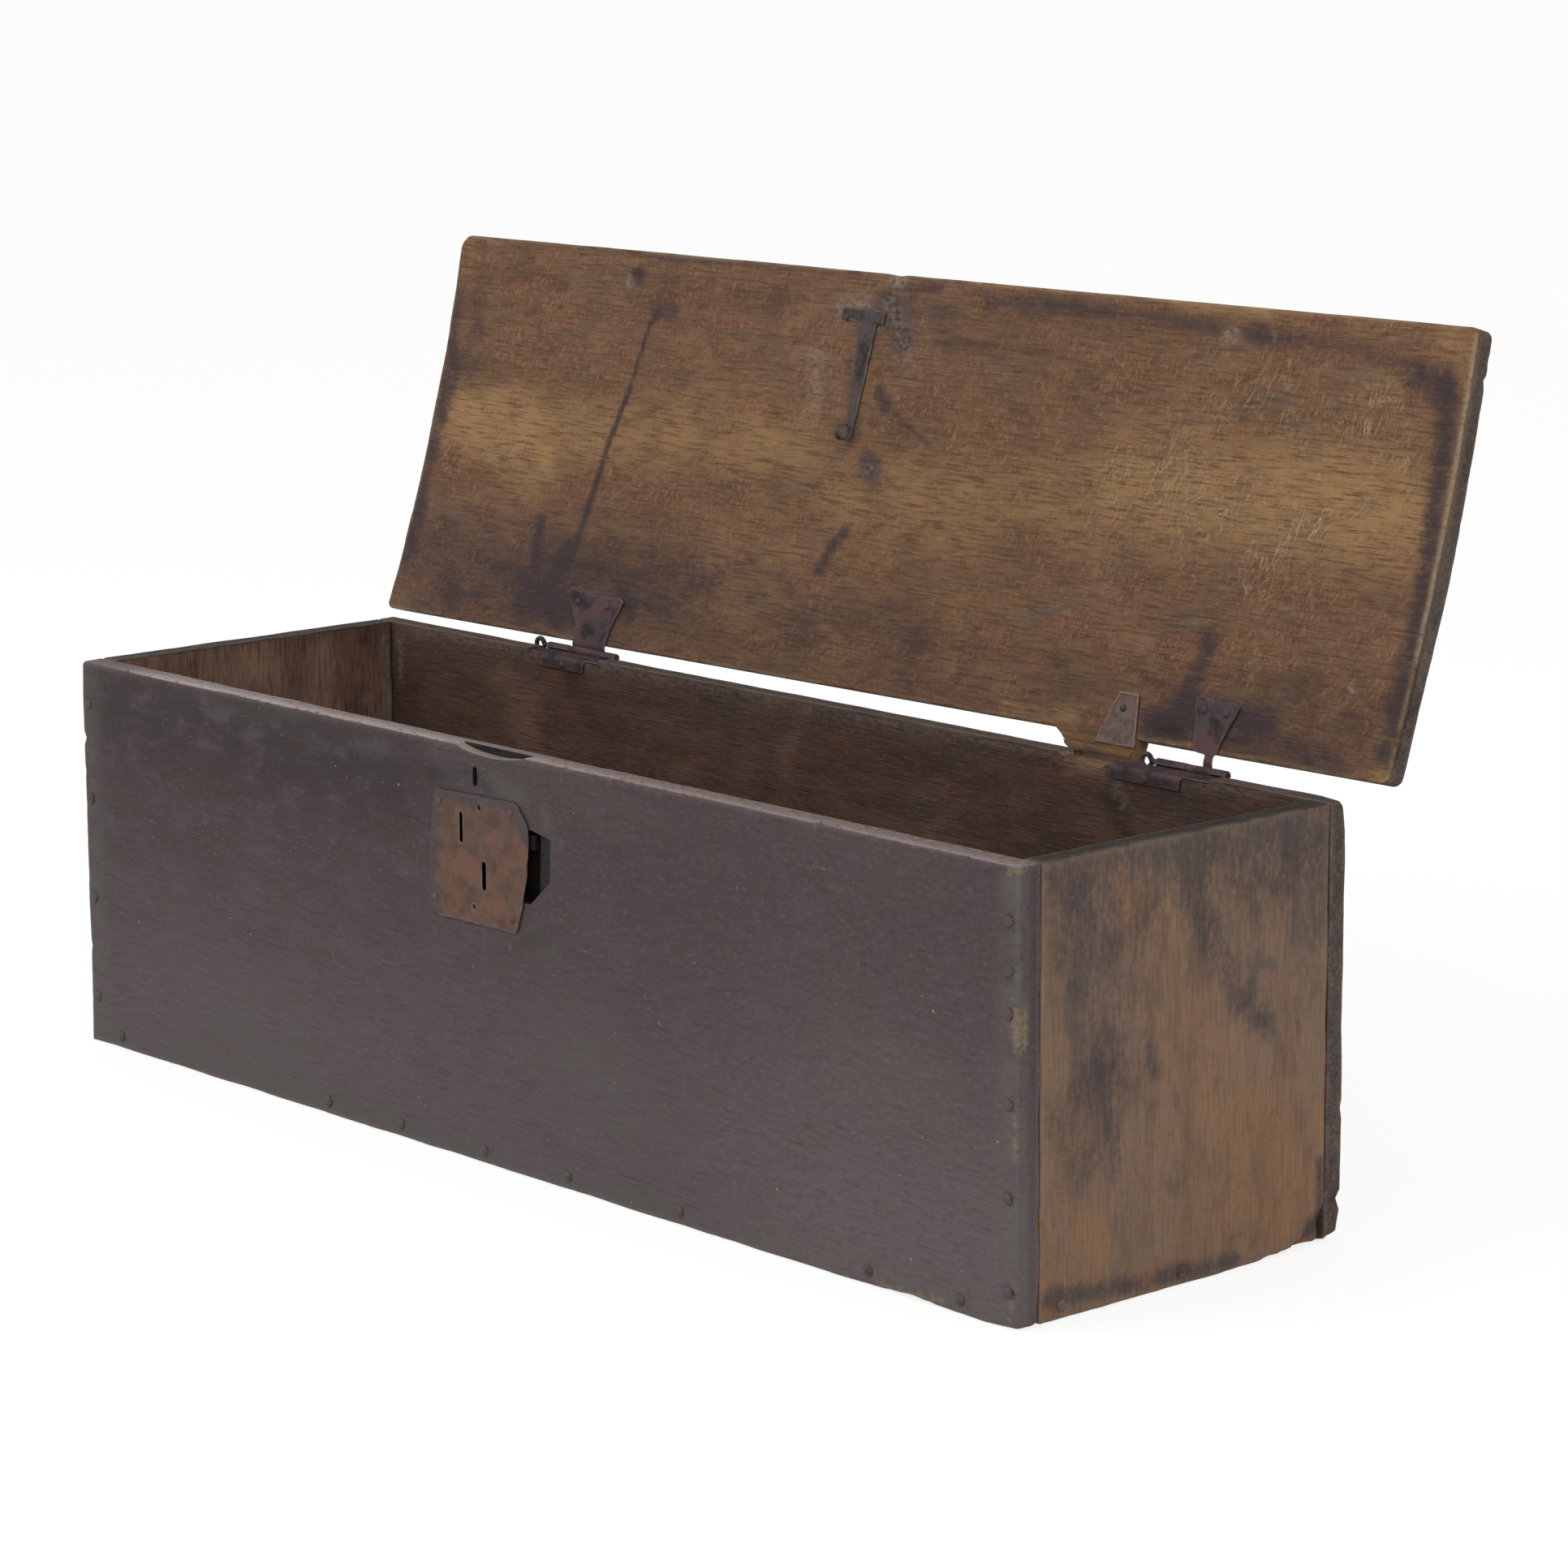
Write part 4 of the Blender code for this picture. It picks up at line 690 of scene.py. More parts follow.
BACK_GOUGES = [Gouge((1.250, 0.034, 0.006), (0.010, 0.006, 0.022), (-0.0060, 0.0, 0.0)),
               Gouge((1.250, 0.110, 0.004), (0.005, 0.008, 0.022), (-0.0024, 0.0, 0.0)),
               Gouge((1.250, 0.0, 0.010), (0.016, 0.010, 0.022), (0.0, 0.0070, 0.0))]

BOARDS = (
    Board("front_board", (X, Z, Y), -1, 0.0065, 1.0, FRONT_WEARS, FRONT_GOUGES, FRONT_MARKS, "painted_wood"),
    Board("back_board", (X, Z, Y), 1, 0.0085, 2.0, BACK_WEARS, BACK_GOUGES, BACK_MARKS, "inner_wood"),
    Board("left_end_board", (Z, Y, X), -1, 0.0075, 3.0, (), (), LEFT_MARKS, "bare_wood"),
    Board("right_end_board", (Z, Y, X), 1, 0.0055, 4.0, END_WEARS, END_GOUGES, END_MARKS, "bare_wood"),
    Board("bottom_board", (X, Y, Z), -1, 0.0120, 5.0, (), (), BOTTOM_MARKS, "inner_wood"),
)
# Heights of the box's top edge and of the cutters' tops, and how far cutters stand out from a board's faces.
BOX_TOP = 0.365
CUTTER_TOP = 0.380
CUTTER_CLEAR = 0.01

# The back board: recesses for the hinge leaves, each from left to right, and a notch under the repair block.
RECESSES = ((-0.3909, -0.2895), (0.3251, 0.4905))
RECESS_FLOOR = 0.3602
NOTCH = ((0.312, 0.3660), (0.322, 0.3610), (0.331, 0.3570), (0.345, 0.3540), (0.358, 0.3536),
         (0.3668, 0.3560), (0.374, 0.3610), (0.374, CUTTER_TOP), (0.312, CUTTER_TOP))
NOTCH_DEPTH = 0.011

# The front board: a scoop in its top edge, the lock's pocket with a step beside the plate, and an old slot.
SCOOP_LEFT = -0.062
SCOOP_LENGTH = 0.097
SCOOP_DROP = 0.0068
SCOOP_DEPTH = 0.0115
SCOOP_FLATNESS = 0.6
SCOOP_STEPS = 24
POCKET = ((-0.080, 0.2398), (0.039, 0.2398), (0.0470, 0.2470), (0.0490, 0.3028), (0.044, 0.3038),
          (-0.080, 0.3058))
POCKET_DEPTH = 0.016
POCKET_STEP = ((0.030, 0.2400), (0.041, 0.2400), (0.0665, 0.2625), (0.0690, 0.2995), (0.046, 0.3036),
               (0.030, 0.3040))
STEP_DEPTH = 0.0050
STEP_SHIFT = (-0.002, 0.0)
OLD_SLOT = {"x": -0.033, "low": 0.331, "high": 0.348, "width": 0.006}
OLD_SLOT_DEPTH = 0.012


def scoop_floor(x):
    """Height of the scoop in the front board's top edge."""
    share = min(max((x - SCOOP_LEFT) / SCOOP_LENGTH, 0.0), 1.0)
    return BOX_TOP - SCOOP_DROP * sin(pi * share) ** SCOOP_FLATNESS


def back_cuts():
    """Cutters for the back board: the recesses go through it, the notch only into its inner face."""
    low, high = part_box("back_board")
    near, far = low.y - CUTTER_CLEAR, high.y + CUTTER_CLEAR
    cuts = []
    for left, right in RECESSES:
        recess = [(left, RECESS_FLOOR), (right, RECESS_FLOOR), (right, CUTTER_TOP), (left, CUTTER_TOP)]
        cuts.append(prism(recess, near, far))
    return [*cuts, prism(NOTCH, near, low.y + NOTCH_DEPTH)]


def front_cuts():
    """Cutters for the front board, each from before its face to a depth of its own."""
    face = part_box("front_board")[0].y
    near = face - CUTTER_CLEAR
    across = [SCOOP_LEFT + SCOOP_LENGTH * index / SCOOP_STEPS for index in range(SCOOP_STEPS + 1)]
    scoop = [(x, scoop_floor(x)) for x in across]
    scoop += [(across[-1], CUTTER_TOP), (SCOOP_LEFT, CUTTER_TOP)]
    return [prism(scoop, near, face + SCOOP_DEPTH), prism(POCKET, near, face + POCKET_DEPTH),
            prism(POCKET_STEP, near, face + STEP_DEPTH, STEP_SHIFT),
            prism(slot_outline(**OLD_SLOT), near, face + OLD_SLOT_DEPTH)]


CUTS = {"front_board": front_cuts, "back_board": back_cuts}

# What every colour in the panel has in common.
COLOUR = {"subtype": "COLOR", "min": 0, "max": 1}


class BoardLooks(bpy.types.PropertyGroup):
    """Sizes and colours of the boards."""
    arris: FloatProperty(name="Arris", description="Usual rounding of the boards' edges", default=0.0022,
                         min=0.0005, max=0.008, unit="LENGTH")
    swell: FloatProperty(name="Swell", description="How unevenly the faces have moved", default=0.0005,
                         min=0.0, max=0.004, unit="LENGTH")
    paint_high: FloatVectorProperty(name="Paint, upper", description="Paint near the top of the front",
                                    default=linear("#473B3C"), **COLOUR)
    paint_low: FloatVectorProperty(name="Paint, lower", description="Paint near the floor",
                                   default=linear("#574C4E"), **COLOUR)
    lid_wood: FloatVectorProperty(name="Lid wood", description="Bare wood under the lid",
                                  default=linear("#6E4F3A"), **COLOUR)
    end_wood: FloatVectorProperty(name="End wood", description="Bare wood of the ends",
                                  default=linear("#7F6858"), **COLOUR)
    inner_wood: FloatVectorProperty(name="Inner wood", description="Wood inside the chest",
                                    default=linear("#523E35"), **COLOUR)


class IronLooks(bpy.types.PropertyGroup):
    """Sizes and colours of the ironwork and nails."""
    hammer: FloatProperty(name="Hammer marks", description="Depth of the dents in the plates",
                          default=0.00030, min=0.0, max=0.001, unit="LENGTH")
    ragged: FloatProperty(name="Ragged edge", description="Unevenness of the plates' edges", default=0.0009,
                          min=0.0, max=0.002, unit="LENGTH")
    uneven: FloatProperty(name="Uneven heads", description="Unevenness of the nail heads", default=0.0007,
                          min=0.0, max=0.002, unit="LENGTH")
    facets: IntProperty(name="Facets", description="Sides of a nail head", default=12, min=6, max=24)
    seed: IntProperty(name="Seed", description="Which set of nails was made", default=3, min=0)
    dark: FloatVectorProperty(name="Iron", description="Dark forged iron",
                              default=linear("#4A4140"), **COLOUR)
    plate: FloatVectorProperty(name="Lock plate", description="Rusty sheet of the lock plate",
                               default=linear("#604C42"), **COLOUR)


class StageLooks(bpy.types.PropertyGroup):
    """Floor, light and camera."""
    floor: FloatVectorProperty(name="Floor", description="Floor colour", default=linear("#F4F4F4"), **COLOUR)
    sky: FloatProperty(name="Sky", description="Strength of the even light", default=0.62, min=0, max=2)
    key: FloatProperty(name="Key", description="Power of the large lamp", default=60.0, min=0, unit="POWER")
    fill: FloatProperty(name="Fill", description="Power of the second lamp", default=26.0, min=0,
                        unit="POWER")
    azimuth: FloatProperty(name="Azimuth", description="Camera's angle round the chest",
                           default=radians(48.19), subtype="ANGLE")
    elevation: FloatProperty(name="Elevation", description="Camera's angle above the floor",
                             default=radians(11.29), subtype="ANGLE")
    roll: FloatProperty(name="Roll", description="Camera's tilt", default=radians(-0.316), subtype="ANGLE")
    distance: FloatProperty(name="Distance", description="Camera's distance", default=4.196, unit="LENGTH")
    lens: FloatProperty(name="Lens", description="Focal length on a 36 mm sensor", default=113.94)


def tone(colour):
    """A colour property with full alpha."""
    return (*colour, 1.0)


def darker(colour, share):
    """A linear colour scaled down."""
    return (*(channel * share for channel in colour[:3]), 1.0)


def tones_of(kind, dark, mid, codes):
    """The tones of a wood or an iron: dark and usual, then the others in order, as sRGB hex codes."""
    return kind(dark, mid, *(shade(code) for code in codes.split()))


def kept_or_made(looks, make):
    """Materials by name, each made once: a look is what its function takes after the name."""
    return {name: bpy.data.materials.get(name) or make(name, *look) for name, look in looks.items()}


PAINT = "worn aubergine paint"


def finishes(context):
    """The boards' materials by name, made once."""
    looks = context.scene.chest_boards
    end, inner, lid = looks.end_wood, looks.inner_wood, looks.lid_wood
    paint = tones_of(Timber, shade("#352B2D"), None,
                     "#706466 #262220 #7E6A50 #55524E #A39490 #52423F #46474C")
    made = kept_or_made({PAINT: (tone(looks.paint_high), tone(looks.paint_low), paint)}, old_paint)
    return made | kept_or_made({
        "stained end pine": (
            tones_of(Timber, darker(end, 0.55), tone(end),
                     "#876A53 #3E393C #946C48 #4E4844 #8C7A64 #815F47 #4E4A45"),
            Feel((0.55, 0.75), 0.55, 0.66, 0.45, 0.55, 0.0, 0.44)),
        "aged interior pine": (
            tones_of(Timber, darker(inner, 0.50), tone(inner),
                     "#665046 #2F2624 #A07E6A #7A7068 #5A524C #5B3E34 #443936"),
            Feel((0.55, 0.75), 0.45, 0.70, 0.2, 0.0, 0.0, 0.58)),
        "handled lid oak": (
            tones_of(Timber, darker(lid, 0.48), tone(lid),
                     "#8A6A4E #342A2E #9C7A50 #857468 #AC9472 #714936 #5D5246"),
            Feel((0.48, 0.68), 0.60, 0.60, 0.2, 0.85, 0.55, 0.72)),
        # Old cut wood, darkened further to near black as painted shade for the front's cuts.
        "old cut pine": (
            tones_of(Timber, shade("#1A1716"), shade("#2C2825"),
                     "#3A3833 #151312 #3D372E #3A3A36 #45423C #33282A #30322E"),
            Feel((0.70, 0.85), 0.30, 0.40, 0.0, 0.0, 0.0, 0.6)),
        "weathered end grain": (
            tones_of(Timber, shade("#302A28"), shade("#544B46"),
                     "#6E6258 #262120 #7A6248 #57514C #8A7C70 #5A473C #464240"),
            Feel((0.65, 0.85), 0.60, 0.50, 0.1, 0.5, 0.0, 0.6)),
        "rubbed bare pine": (
            tones_of(Timber, shade("#6A5C56"), shade("#938580"),
                     "#A99B95 #4A403D #8A7660 #7A6E68 #B5A8A2 #86706A #77706E"),
            Feel((0.60, 0.80), 0.40, 0.50, 0.0, 0.0, 0.0, 0.6)),
        "raw split pine": (
            tones_of(Timber, shade("#3A2C21"), shade("#69533C"),
                     "#98774F #3A332E #8B6340 #8A7A66 #B08A60 #75492F #57503C"),
            Feel((0.65, 0.85), 0.5, 0.6, 0.2, 0.0, 0.0, 0.6)),
    }, timber)


# The front's top edge is rubbed, and its pale tone is also a painted highlight of the light from above: below
# the edge, along the board and through it, as places and amounts.
RUB_BELOW = 0.0016
RUB_FADE = 0.0007
RUB_AND_HIGHLIGHT_ALONG = ((0.0, 0.06, 0.12, 0.60, 0.80, 1.25), (0.2, 0.35, 1.0, 0.9, 0.62, 0.55))
RUB_AND_HIGHLIGHT_THROUGH = ((0.004, 0.015), (1.0, 0.45))

# Right of this place more bare wood shows in it than left of it.
BARE_FROM = 0.7
BARE_RIGHT = 1.0
BARE_LEFT = 0.4

# The front's paint is lightened towards the right and the floor as painted light, and only lightly rubbed at
# its other arrises.
PAINTED_LIGHT_ALONG = ((0.20, 0.42), (0.0, 0.09))
PAINTED_LIGHT_UP = ((0.05, 0.33), (1.0, 0.3))
PAINTED_ARRIS = 0.16

# Width of the rubbed arrises, and the height from which hands have greased the other boards' top edges.
ARRIS_WIDTH = 0.006
GREASE_FROM = 0.3618
GREASE_FADE = 0.002
GREASE_MOST = 0.75

# How far the grain of one board lies from that of the next.
GRAIN_APART = 1.7


def wear_front(kinds, places, world, outer):
    """Rub the front's top edge down to the wood with a painted highlight on it, and lighten the paint towards
    the lower right as painted light.
    """
    rubbed = np.clip((world[:, 1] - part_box("front_board")[1].z + RUB_BELOW) / RUB_FADE, 0, 1)
    through = np.interp(places[:, 2], *RUB_AND_HIGHLIGHT_THROUGH)
    # Painted highlight: the pale on the top edge is partly rubbed paint and partly light from above.
    edge = rubbed * np.interp(places[:, 0], *RUB_AND_HIGHLIGHT_ALONG) * through
    # Painted light: the lower right of the front is lightened with the worn tone.
    painted_light = np.interp(world[:, 0], *PAINTED_LIGHT_ALONG) * np.interp(world[:, 1], *PAINTED_LIGHT_UP) * outer
    kinds["wear"] = np.maximum.reduce([kinds["wear"] * PAINTED_ARRIS, painted_light, edge])
    bare = rubbed * (1 - through) * np.where(places[:, 0] > BARE_FROM, BARE_RIGHT, BARE_LEFT)
    kinds["gold"] = np.maximum(kinds["gold"], bare)


def board_mesh(board, looks):
    """One board of the box: worn, cut, painted with its marks, and with its faces sorted."""
    corner, ways, size = board_frame(board)
    points, faces = plank_grid(size, board.step)
    worn = weather(points, size, looks.arris, looks.swell, board.seed, board.wears, board.gouges)
    placed = [corner + ways[0] * point.x + ways[1] * point.y + ways[2] * point.z for point in worn]
    mesh = mesh_from("old_" + board.node, placed, faces)
    if board.node in CUTS:
        mesh = cut_from(mesh, CUTS[board.node]())
    places = local_places(mesh, corner, ways)
    world = places + np.array([corner[axis] for axis in board.axes])
    inner = places[:, 2] > size[2] / 2
    kinds = paint_marks(world, {"inner": inner, "outer": ~inner}, board.marks)
    kinds["wear"] = edge_wear(places, size, ARRIS_WIDTH)
    if board.node == "front_board":
        wear_front(kinds, places, world, ~inner)
    elif board.node != "bottom_board":
        grease = (world[:, board.axes.index(Z)] - GREASE_FROM) / GREASE_FADE
        kinds["stain"] = np.maximum(kinds["stain"], np.clip(grease, 0, GREASE_MOST))
    store(mesh, kinds, places + (board.seed * GRAIN_APART, 0, 0))
    sort_faces(mesh, board, corner, ways, size)
    return mesh


class CHEST_OT_box_boards(bpy.types.Operator):
    """Make the five boards of the box"""
    bl_idname = "chest.box_boards"
    bl_label = "Box boards"

    def execute(self, context):
        made = finishes(context)
        inner = made["aged interior pine"]
        outer = {"front_board": made[PAINT], "bottom_board": inner}
        others = (inner, made["old cut pine"], made["weathered end grain"], made["rubbed bare pine"])
        for board in BOARDS:
            mesh = board_mesh(board, context.scene.chest_boards)
            materials = (outer.get(board.node, made["stained end pine"]), *others)
            add_piece("old_" + board.node, mesh, "chest", [board.node], materials)
        return {"FINISHED"}


# The lid.


def cup(reach):
    """How far the lid's underside has risen, at a distance in front of the axis."""
    rear, front = LID_SPAN
    reach = max(reach, rear)
    return 4 * LID_CUP * (reach - rear) * (front - reach) / (front - rear) ** 2


def lid_place(x, reach, height):
    """A point of the lid's frame in the world, with the lid open."""
    turned = Matrix.Rotation(-OPEN, 3, "X") @ Vector((0.0, -reach, height))
    return Vector((x, AXIS_Y + turned.y, AXIS_Z + turned.z))


def chest_place(x, reach, height):
    """A point measured from the axis in the world, fixed to the chest."""
    return Vector((x, AXIS_Y - reach, AXIS_Z + height))


def across_lid(x, ends):
    """Interpolate between the lid's left and right ends."""
    return ends[0] + (ends[1] - ends[0]) * (x - LID_LEFT) / (LID_RIGHT - LID_LEFT)


# Marks under the lid, in the same form, from the hinge axis towards its front edge.
LID_MARKS = {
    ("under", "gold"): (
        # The first five rows lay the golden band across the middle of the lid: rubbed wood, and also a painted
        # sheen.
        (60, 1.0, (-600, 210), (-560, 195), (-470, 175)),
        (62, 0.62, (-540, 215), (-420, 205), (-240, 222), (-110, 215)),
        (56, 0.58, (-30, 190), (110, 200), (230, 205)), (80, 0.85, (300, 225), (420, 228), (600, 232)),
        (62, 0.55, (480, 245), (610, 240)), (22, 0.15, (-633, 372), (-622, 280)),
        (22, 0.95, (646, 60), (650, 20)), (10, 0.7, (320, 385), (430, 383)),
        (24, 0.5, (625, 375), (640, 365)), (14, 0.6, (220, 24), (300, 24)),
        (90, 0.16, (-200, 90), (100, 150)), (6, 0.8, (392, 21), (438, 19)),
        (6, 0.70, (653, 380), (653, 40)),
    ),
    ("under", "stain"): (
        (5.5, 1.0, (-336, 328), (-348, 315), (-361, 252), (-376, 200)),
        (8, 0.9, (-361, 252), (-376, 200), (-387, 124), (-395, 78)), (22, 0.55, (-340, 335), (-322, 330)),
        (27, 0.85, (-446, 42), (-420, 46), (-395, 42)), (14, 0.70, (-402, 98), (-412, 62)),
        (13, 0.75, (-449, 116), (-444, 70)), (26, 0.55, (-430, 30), (-330, 40)),
        (23, 1.0, (-22, 214), (-12, 209)), (13, 0.85, (-52, 112), (-42, 137), (-30, 150)),
        (6, 0.6, (4, 262), (28, 250), (54, 238)), (18, 0.8, (-20, 278), (-10, 268)),
        (22, 0.5, (-64, 300), (-40, 240)), (12, 0.95, (-378, 363), (-372, 361)),
        (17, 0.60, (100, 369), (191, 371), (373, 368), (420, 364)),
        (22, 0.58, (430, 364), (520, 362), (596, 350)), (27, 0.55, (600, 344), (622, 336)),
        (24, 0.80, (629, 346), (637, 298), (641, 232), (645, 166), (647, 93), (648, 40)),
        (20, 0.65, (430, 106), (428, 84), (424, 56)), (42, 0.36, (-384, 350), (-330, 356)),
        (36, 0.33, (56, 352), (170, 354)), (20, 0.62, (-628, 262), (-630, 200)),
        (54, 0.24, (-210, 100), (90, 84)), (32, 0.85, (396, 30), (430, 42), (506, 46)),
        (22, 0.45, (500, 40), (600, 24)), (9, 0.55, (-620, 386), (-300, 380), (0, 386), (60, 384)),
        (34, 0.50, (-612, 335), (-606, 240)), (20, 0.62, (-640, 330), (-636, 60)),
        # Painted shade: the two broad rows on the next line darken the lower part of the lid, towards the
        # hinge.
        (100, 0.46, (-600, 70), (-250, 80)), (130, 0.40, (-560, 30), (-200, 36), (300, 30), (620, 40)),
        (46, 0.42, (-100, 345), (40, 350)), (5, 0.5, (15, 329), (90, 331), (182, 330)),
        (5, 0.8, (40, 376), (-20, 374)), (60, 0.25, (-300, 330), (-160, 340)),
        (22, 1.0, (-30, 358), (-10, 342), (0, 326)), (9, 1.0, (405, 30), (416, 32)),
        (9, 1.0, (-390, 24), (-382, 28)), (16, 0.55, (-306, 62), (-290, 44)),
    ),
    ("under", "scuff"): (
        (18, 0.8, (-92, 350), (-58, 354)), (18, 0.6, (-114, 306), (-101, 258)),
        (13, 1.0, (388, 361), (394, 364)), (12, 1.0, (-24, 381), (-14, 379)),
        (24, 0.50, (-26, 360), (-8, 340), (4, 322)), (14, 0.45, (-24, 212), (-10, 208)),
        (7, 1.0, (594, 88), (596, 84)), (4.5, 0.85, (653, 380), (653, 120)),
        (10, 0.7, (-390, 354), (-384, 352)),
    ),
    ("under", "scratch"): (
        (90, 1.0, (300, 220), (460, 210), (560, 245)), (80, 0.7, (380, 300), (560, 300)),
        (40, 0.6, (470, 170), (480, 90)), (40, 0.5, (-560, 195), (-500, 190)),
        (50, 0.4, (-100, 320), (-100, 240)),
    ),
}
# Damage to the lid, in metres from its rear left corner, and the radii of its corners in plan.
LID_GOUGES = [
    Gouge((0.6275, 0.380, 0.004), (0.016, 0.012, 0.010), (0.0, -0.0025, 0.0015)),
    Gouge((1.303, 0.335, 0.016), (0.010, 0.006, 0.012), (-0.0030, 0.0, 0.0)),
    Gouge((1.303, 0.352, 0.018), (0.010, 0.004, 0.010), (-0.0022, 0.0, 0.0)),
    Gouge((1.060, 0.006, 0.0), (0.032, 0.016, 0.008), (0.0, 0.0020, 0.0045)),
    Gouge((0.246, 0.016, 0.0), (0.012, 0.008, 0.006), (0.0, 0.001, 0.0030)),
    Gouge((1.040, 0.358, 0.0), (0.012, 0.008, 0.004), (0.0, 0.0, -0.0010)),
    Gouge((0.630, 0.206, 0.0), (0.022, 0.018, 0.004), (0.0, 0.0, 0.0014)),
]
LID_CORNERS = (0.008, 0.008, 0.008, 0.015)
LID_STEP = 0.0045
LID_SEED = 6.0

# The lid's arrises are rounder than the box's. Its left end and rear edge are dirty.
LID_ARRIS_SHARE = 1.1
LID_ARRIS_WIDTH = 0.005
LID_DIRT = 0.62

# The share of its thickness that counts as its underside, and how squarely its outside and sawn edges look.
UNDER_SHARE = 0.35
OUTER_LOOKS = -0.8
SAWN_LOOKS = 0.35


def round_plan(along, across, length, width):
    """Round the lid's corners in plan. The radii are rear left, rear right, front right, front left."""
    right, front = along > length / 2, across > width / 2
    radius = LID_CORNERS[(2 if front else 1) if right else (3 if front else 0)]
    core = (min(max(along, radius), length - radius), min(max(across, radius), width - radius))
    over = (along - core[0], across - core[1])
    if not (over[0] and over[1]):
        return along, across
    share = max(abs(over[0]), abs(over[1])) / hypot(*over)
    return core[0] + over[0] * share, core[1] + over[1] * share


class CHEST_OT_lid_board(bpy.types.Operator):
    """Make the cupped lid board"""
    bl_idname = "chest.lid_board"
    bl_label = "Lid board"

    def execute(self, context):
        looks = context.scene.chest_boards
        length, width = LID_RIGHT - LID_LEFT, LID_FRONT[0] - LID_REAR[0]
        size = Vector((length, width, LID_THICKNESS))
        points, faces = plank_grid(size, LID_STEP)
        worn = weather(points, size, looks.arris * LID_ARRIS_SHARE, looks.swell, LID_SEED, (), LID_GOUGES)
        placed, places = [], []
        for point in worn:
            along, across = round_plan(point.x, point.y, length, width)
            x = LID_LEFT + along
            rear, front = across_lid(x, LID_REAR), across_lid(x, LID_FRONT)
            reach = rear + (front - rear) * across / width
            placed.append(lid_place(x, reach, LID_UNDERSIDE + cup(reach) + point.z))
            places.append((x, reach, point.z))
        mesh = mesh_from("old_lid_board", placed, faces)
        places = np.array(places)
        box = np.array([tuple(point) for point in points])
        kinds = paint_marks(places, {"under": places[:, 2] < LID_THICKNESS * UNDER_SHARE}, LID_MARKS)
        kinds["wear"] = edge_wear(box, size, LID_ARRIS_WIDTH)
        dirty = (box[:, 0] == 0) | (box[:, 1] == 0)
        kinds["stain"] = np.maximum(kinds["stain"], dirty * LID_DIRT)
        store(mesh, kinds, places)
        facing = face_values(mesh, "normal") @ np.array(LID_OUT)
        under, outer, sawn = range(3)
        chosen = np.where(facing < OUTER_LOOKS, outer, np.where(abs(facing) < SAWN_LOOKS, sawn, under))
        mesh.polygons.foreach_set("material_index", chosen.astype(np.int32))
        made = finishes(context)
        add_piece("old_lid_board", mesh, "lid", ["lid_board"],
                  (made["handled lid oak"], made[PAINT], made["weathered end grain"]))
        return {"FINISHED"}


# Ironwork: sheets cut to an outline, then bent along a line.


def bent_line(points):
    """A bent strip's middle line: its points, its normals and the length along it."""
    line = np.array(points, float)
    lengths = np.concatenate([[0.0], np.cumsum(np.hypot(*np.diff(line, axis=0).T))])
    ways = np.gradient(line, lengths, axis=0)
    ways /= np.hypot(*ways.T)[:, None]
    return line, np.stack([-ways[:, 1], ways[:, 0]], 1), lengths


def on_line(bent, along):
    """Point and normal at a length along a bent line."""
    line, normals, lengths = bent
    point = [np.interp(along, lengths, line[:, axis]) for axis in (0, 1)]
    normal = [np.interp(along, lengths, normals[:, axis]) for axis in (0, 1)]
    size = hypot(*normal)
    return point, (normal[0] / size, normal[1] / size)


def inside(point, outline):
    """Whether a point lies within a closed outline."""
    within = False
    for start, end in zip(outline, outline[1:] + outline[:1]):
        if (start[1] > point[1]) != (end[1] > point[1]):
            crossing = (end[0] - start[0]) * (point[1] - start[1]) / (end[1] - start[1]) + start[0]
            within ^= point[0] < crossing
    return within


def divide(outline, step):
    """Add points along an outline so that none are further apart than a step."""
    points = []
    for start, end in zip(outline, outline[1:] + outline[:1]):
        count = max(1, round(hypot(end[0] - start[0], end[1] - start[1]) / step))
        for index in range(count):
            points.append(tuple(start[axis] + (end[axis] - start[axis]) * index / count for axis in (0, 1)))
    return points


def area(outline):
    """Signed area of a closed outline."""
    edges = zip(outline, outline[1:] + outline[:1])
    return sum(start[0] * end[1] - end[0] * start[1] for start, end in edges) / 2


def outward_normals(outline):
    """Unit normals at the points of an anticlockwise outline."""
    normals = []
    for before, after in zip(outline[-1:] + outline[:-1], outline[1:] + outline[:1]):
        way = Vector((after[1] - before[1], before[0] - after[0]))
        normals.append(way.normalized() if way.length else Vector((0.0, 0.0)))
    return normals


def sheet_loops(outline, holes, step, ragged, calm, seed):
    """A sheet's outline, left ragged beyond its calm length, and its holes, all divided into short edges."""
    points = divide(list(outline), step)
    points = points if area(points) > 0 else points[::-1]
    edge = []
    for point, normal in zip(points, outward_normals(points)):
        wander = noise.noise(Vector((point[0] * 130, point[1] * 130, seed * 7)))
        still = 1.0 if point[1] > calm else 0.15
        edge.append(tuple(point[axis] + normal[axis] * ragged * wander * still for axis in (0, 1)))
    loops = [edge]
    for hole in holes:
        points = divide(list(hole), step / 3)
        loops.append(points[::-1] if area(points) > 0 else points)
    return loops


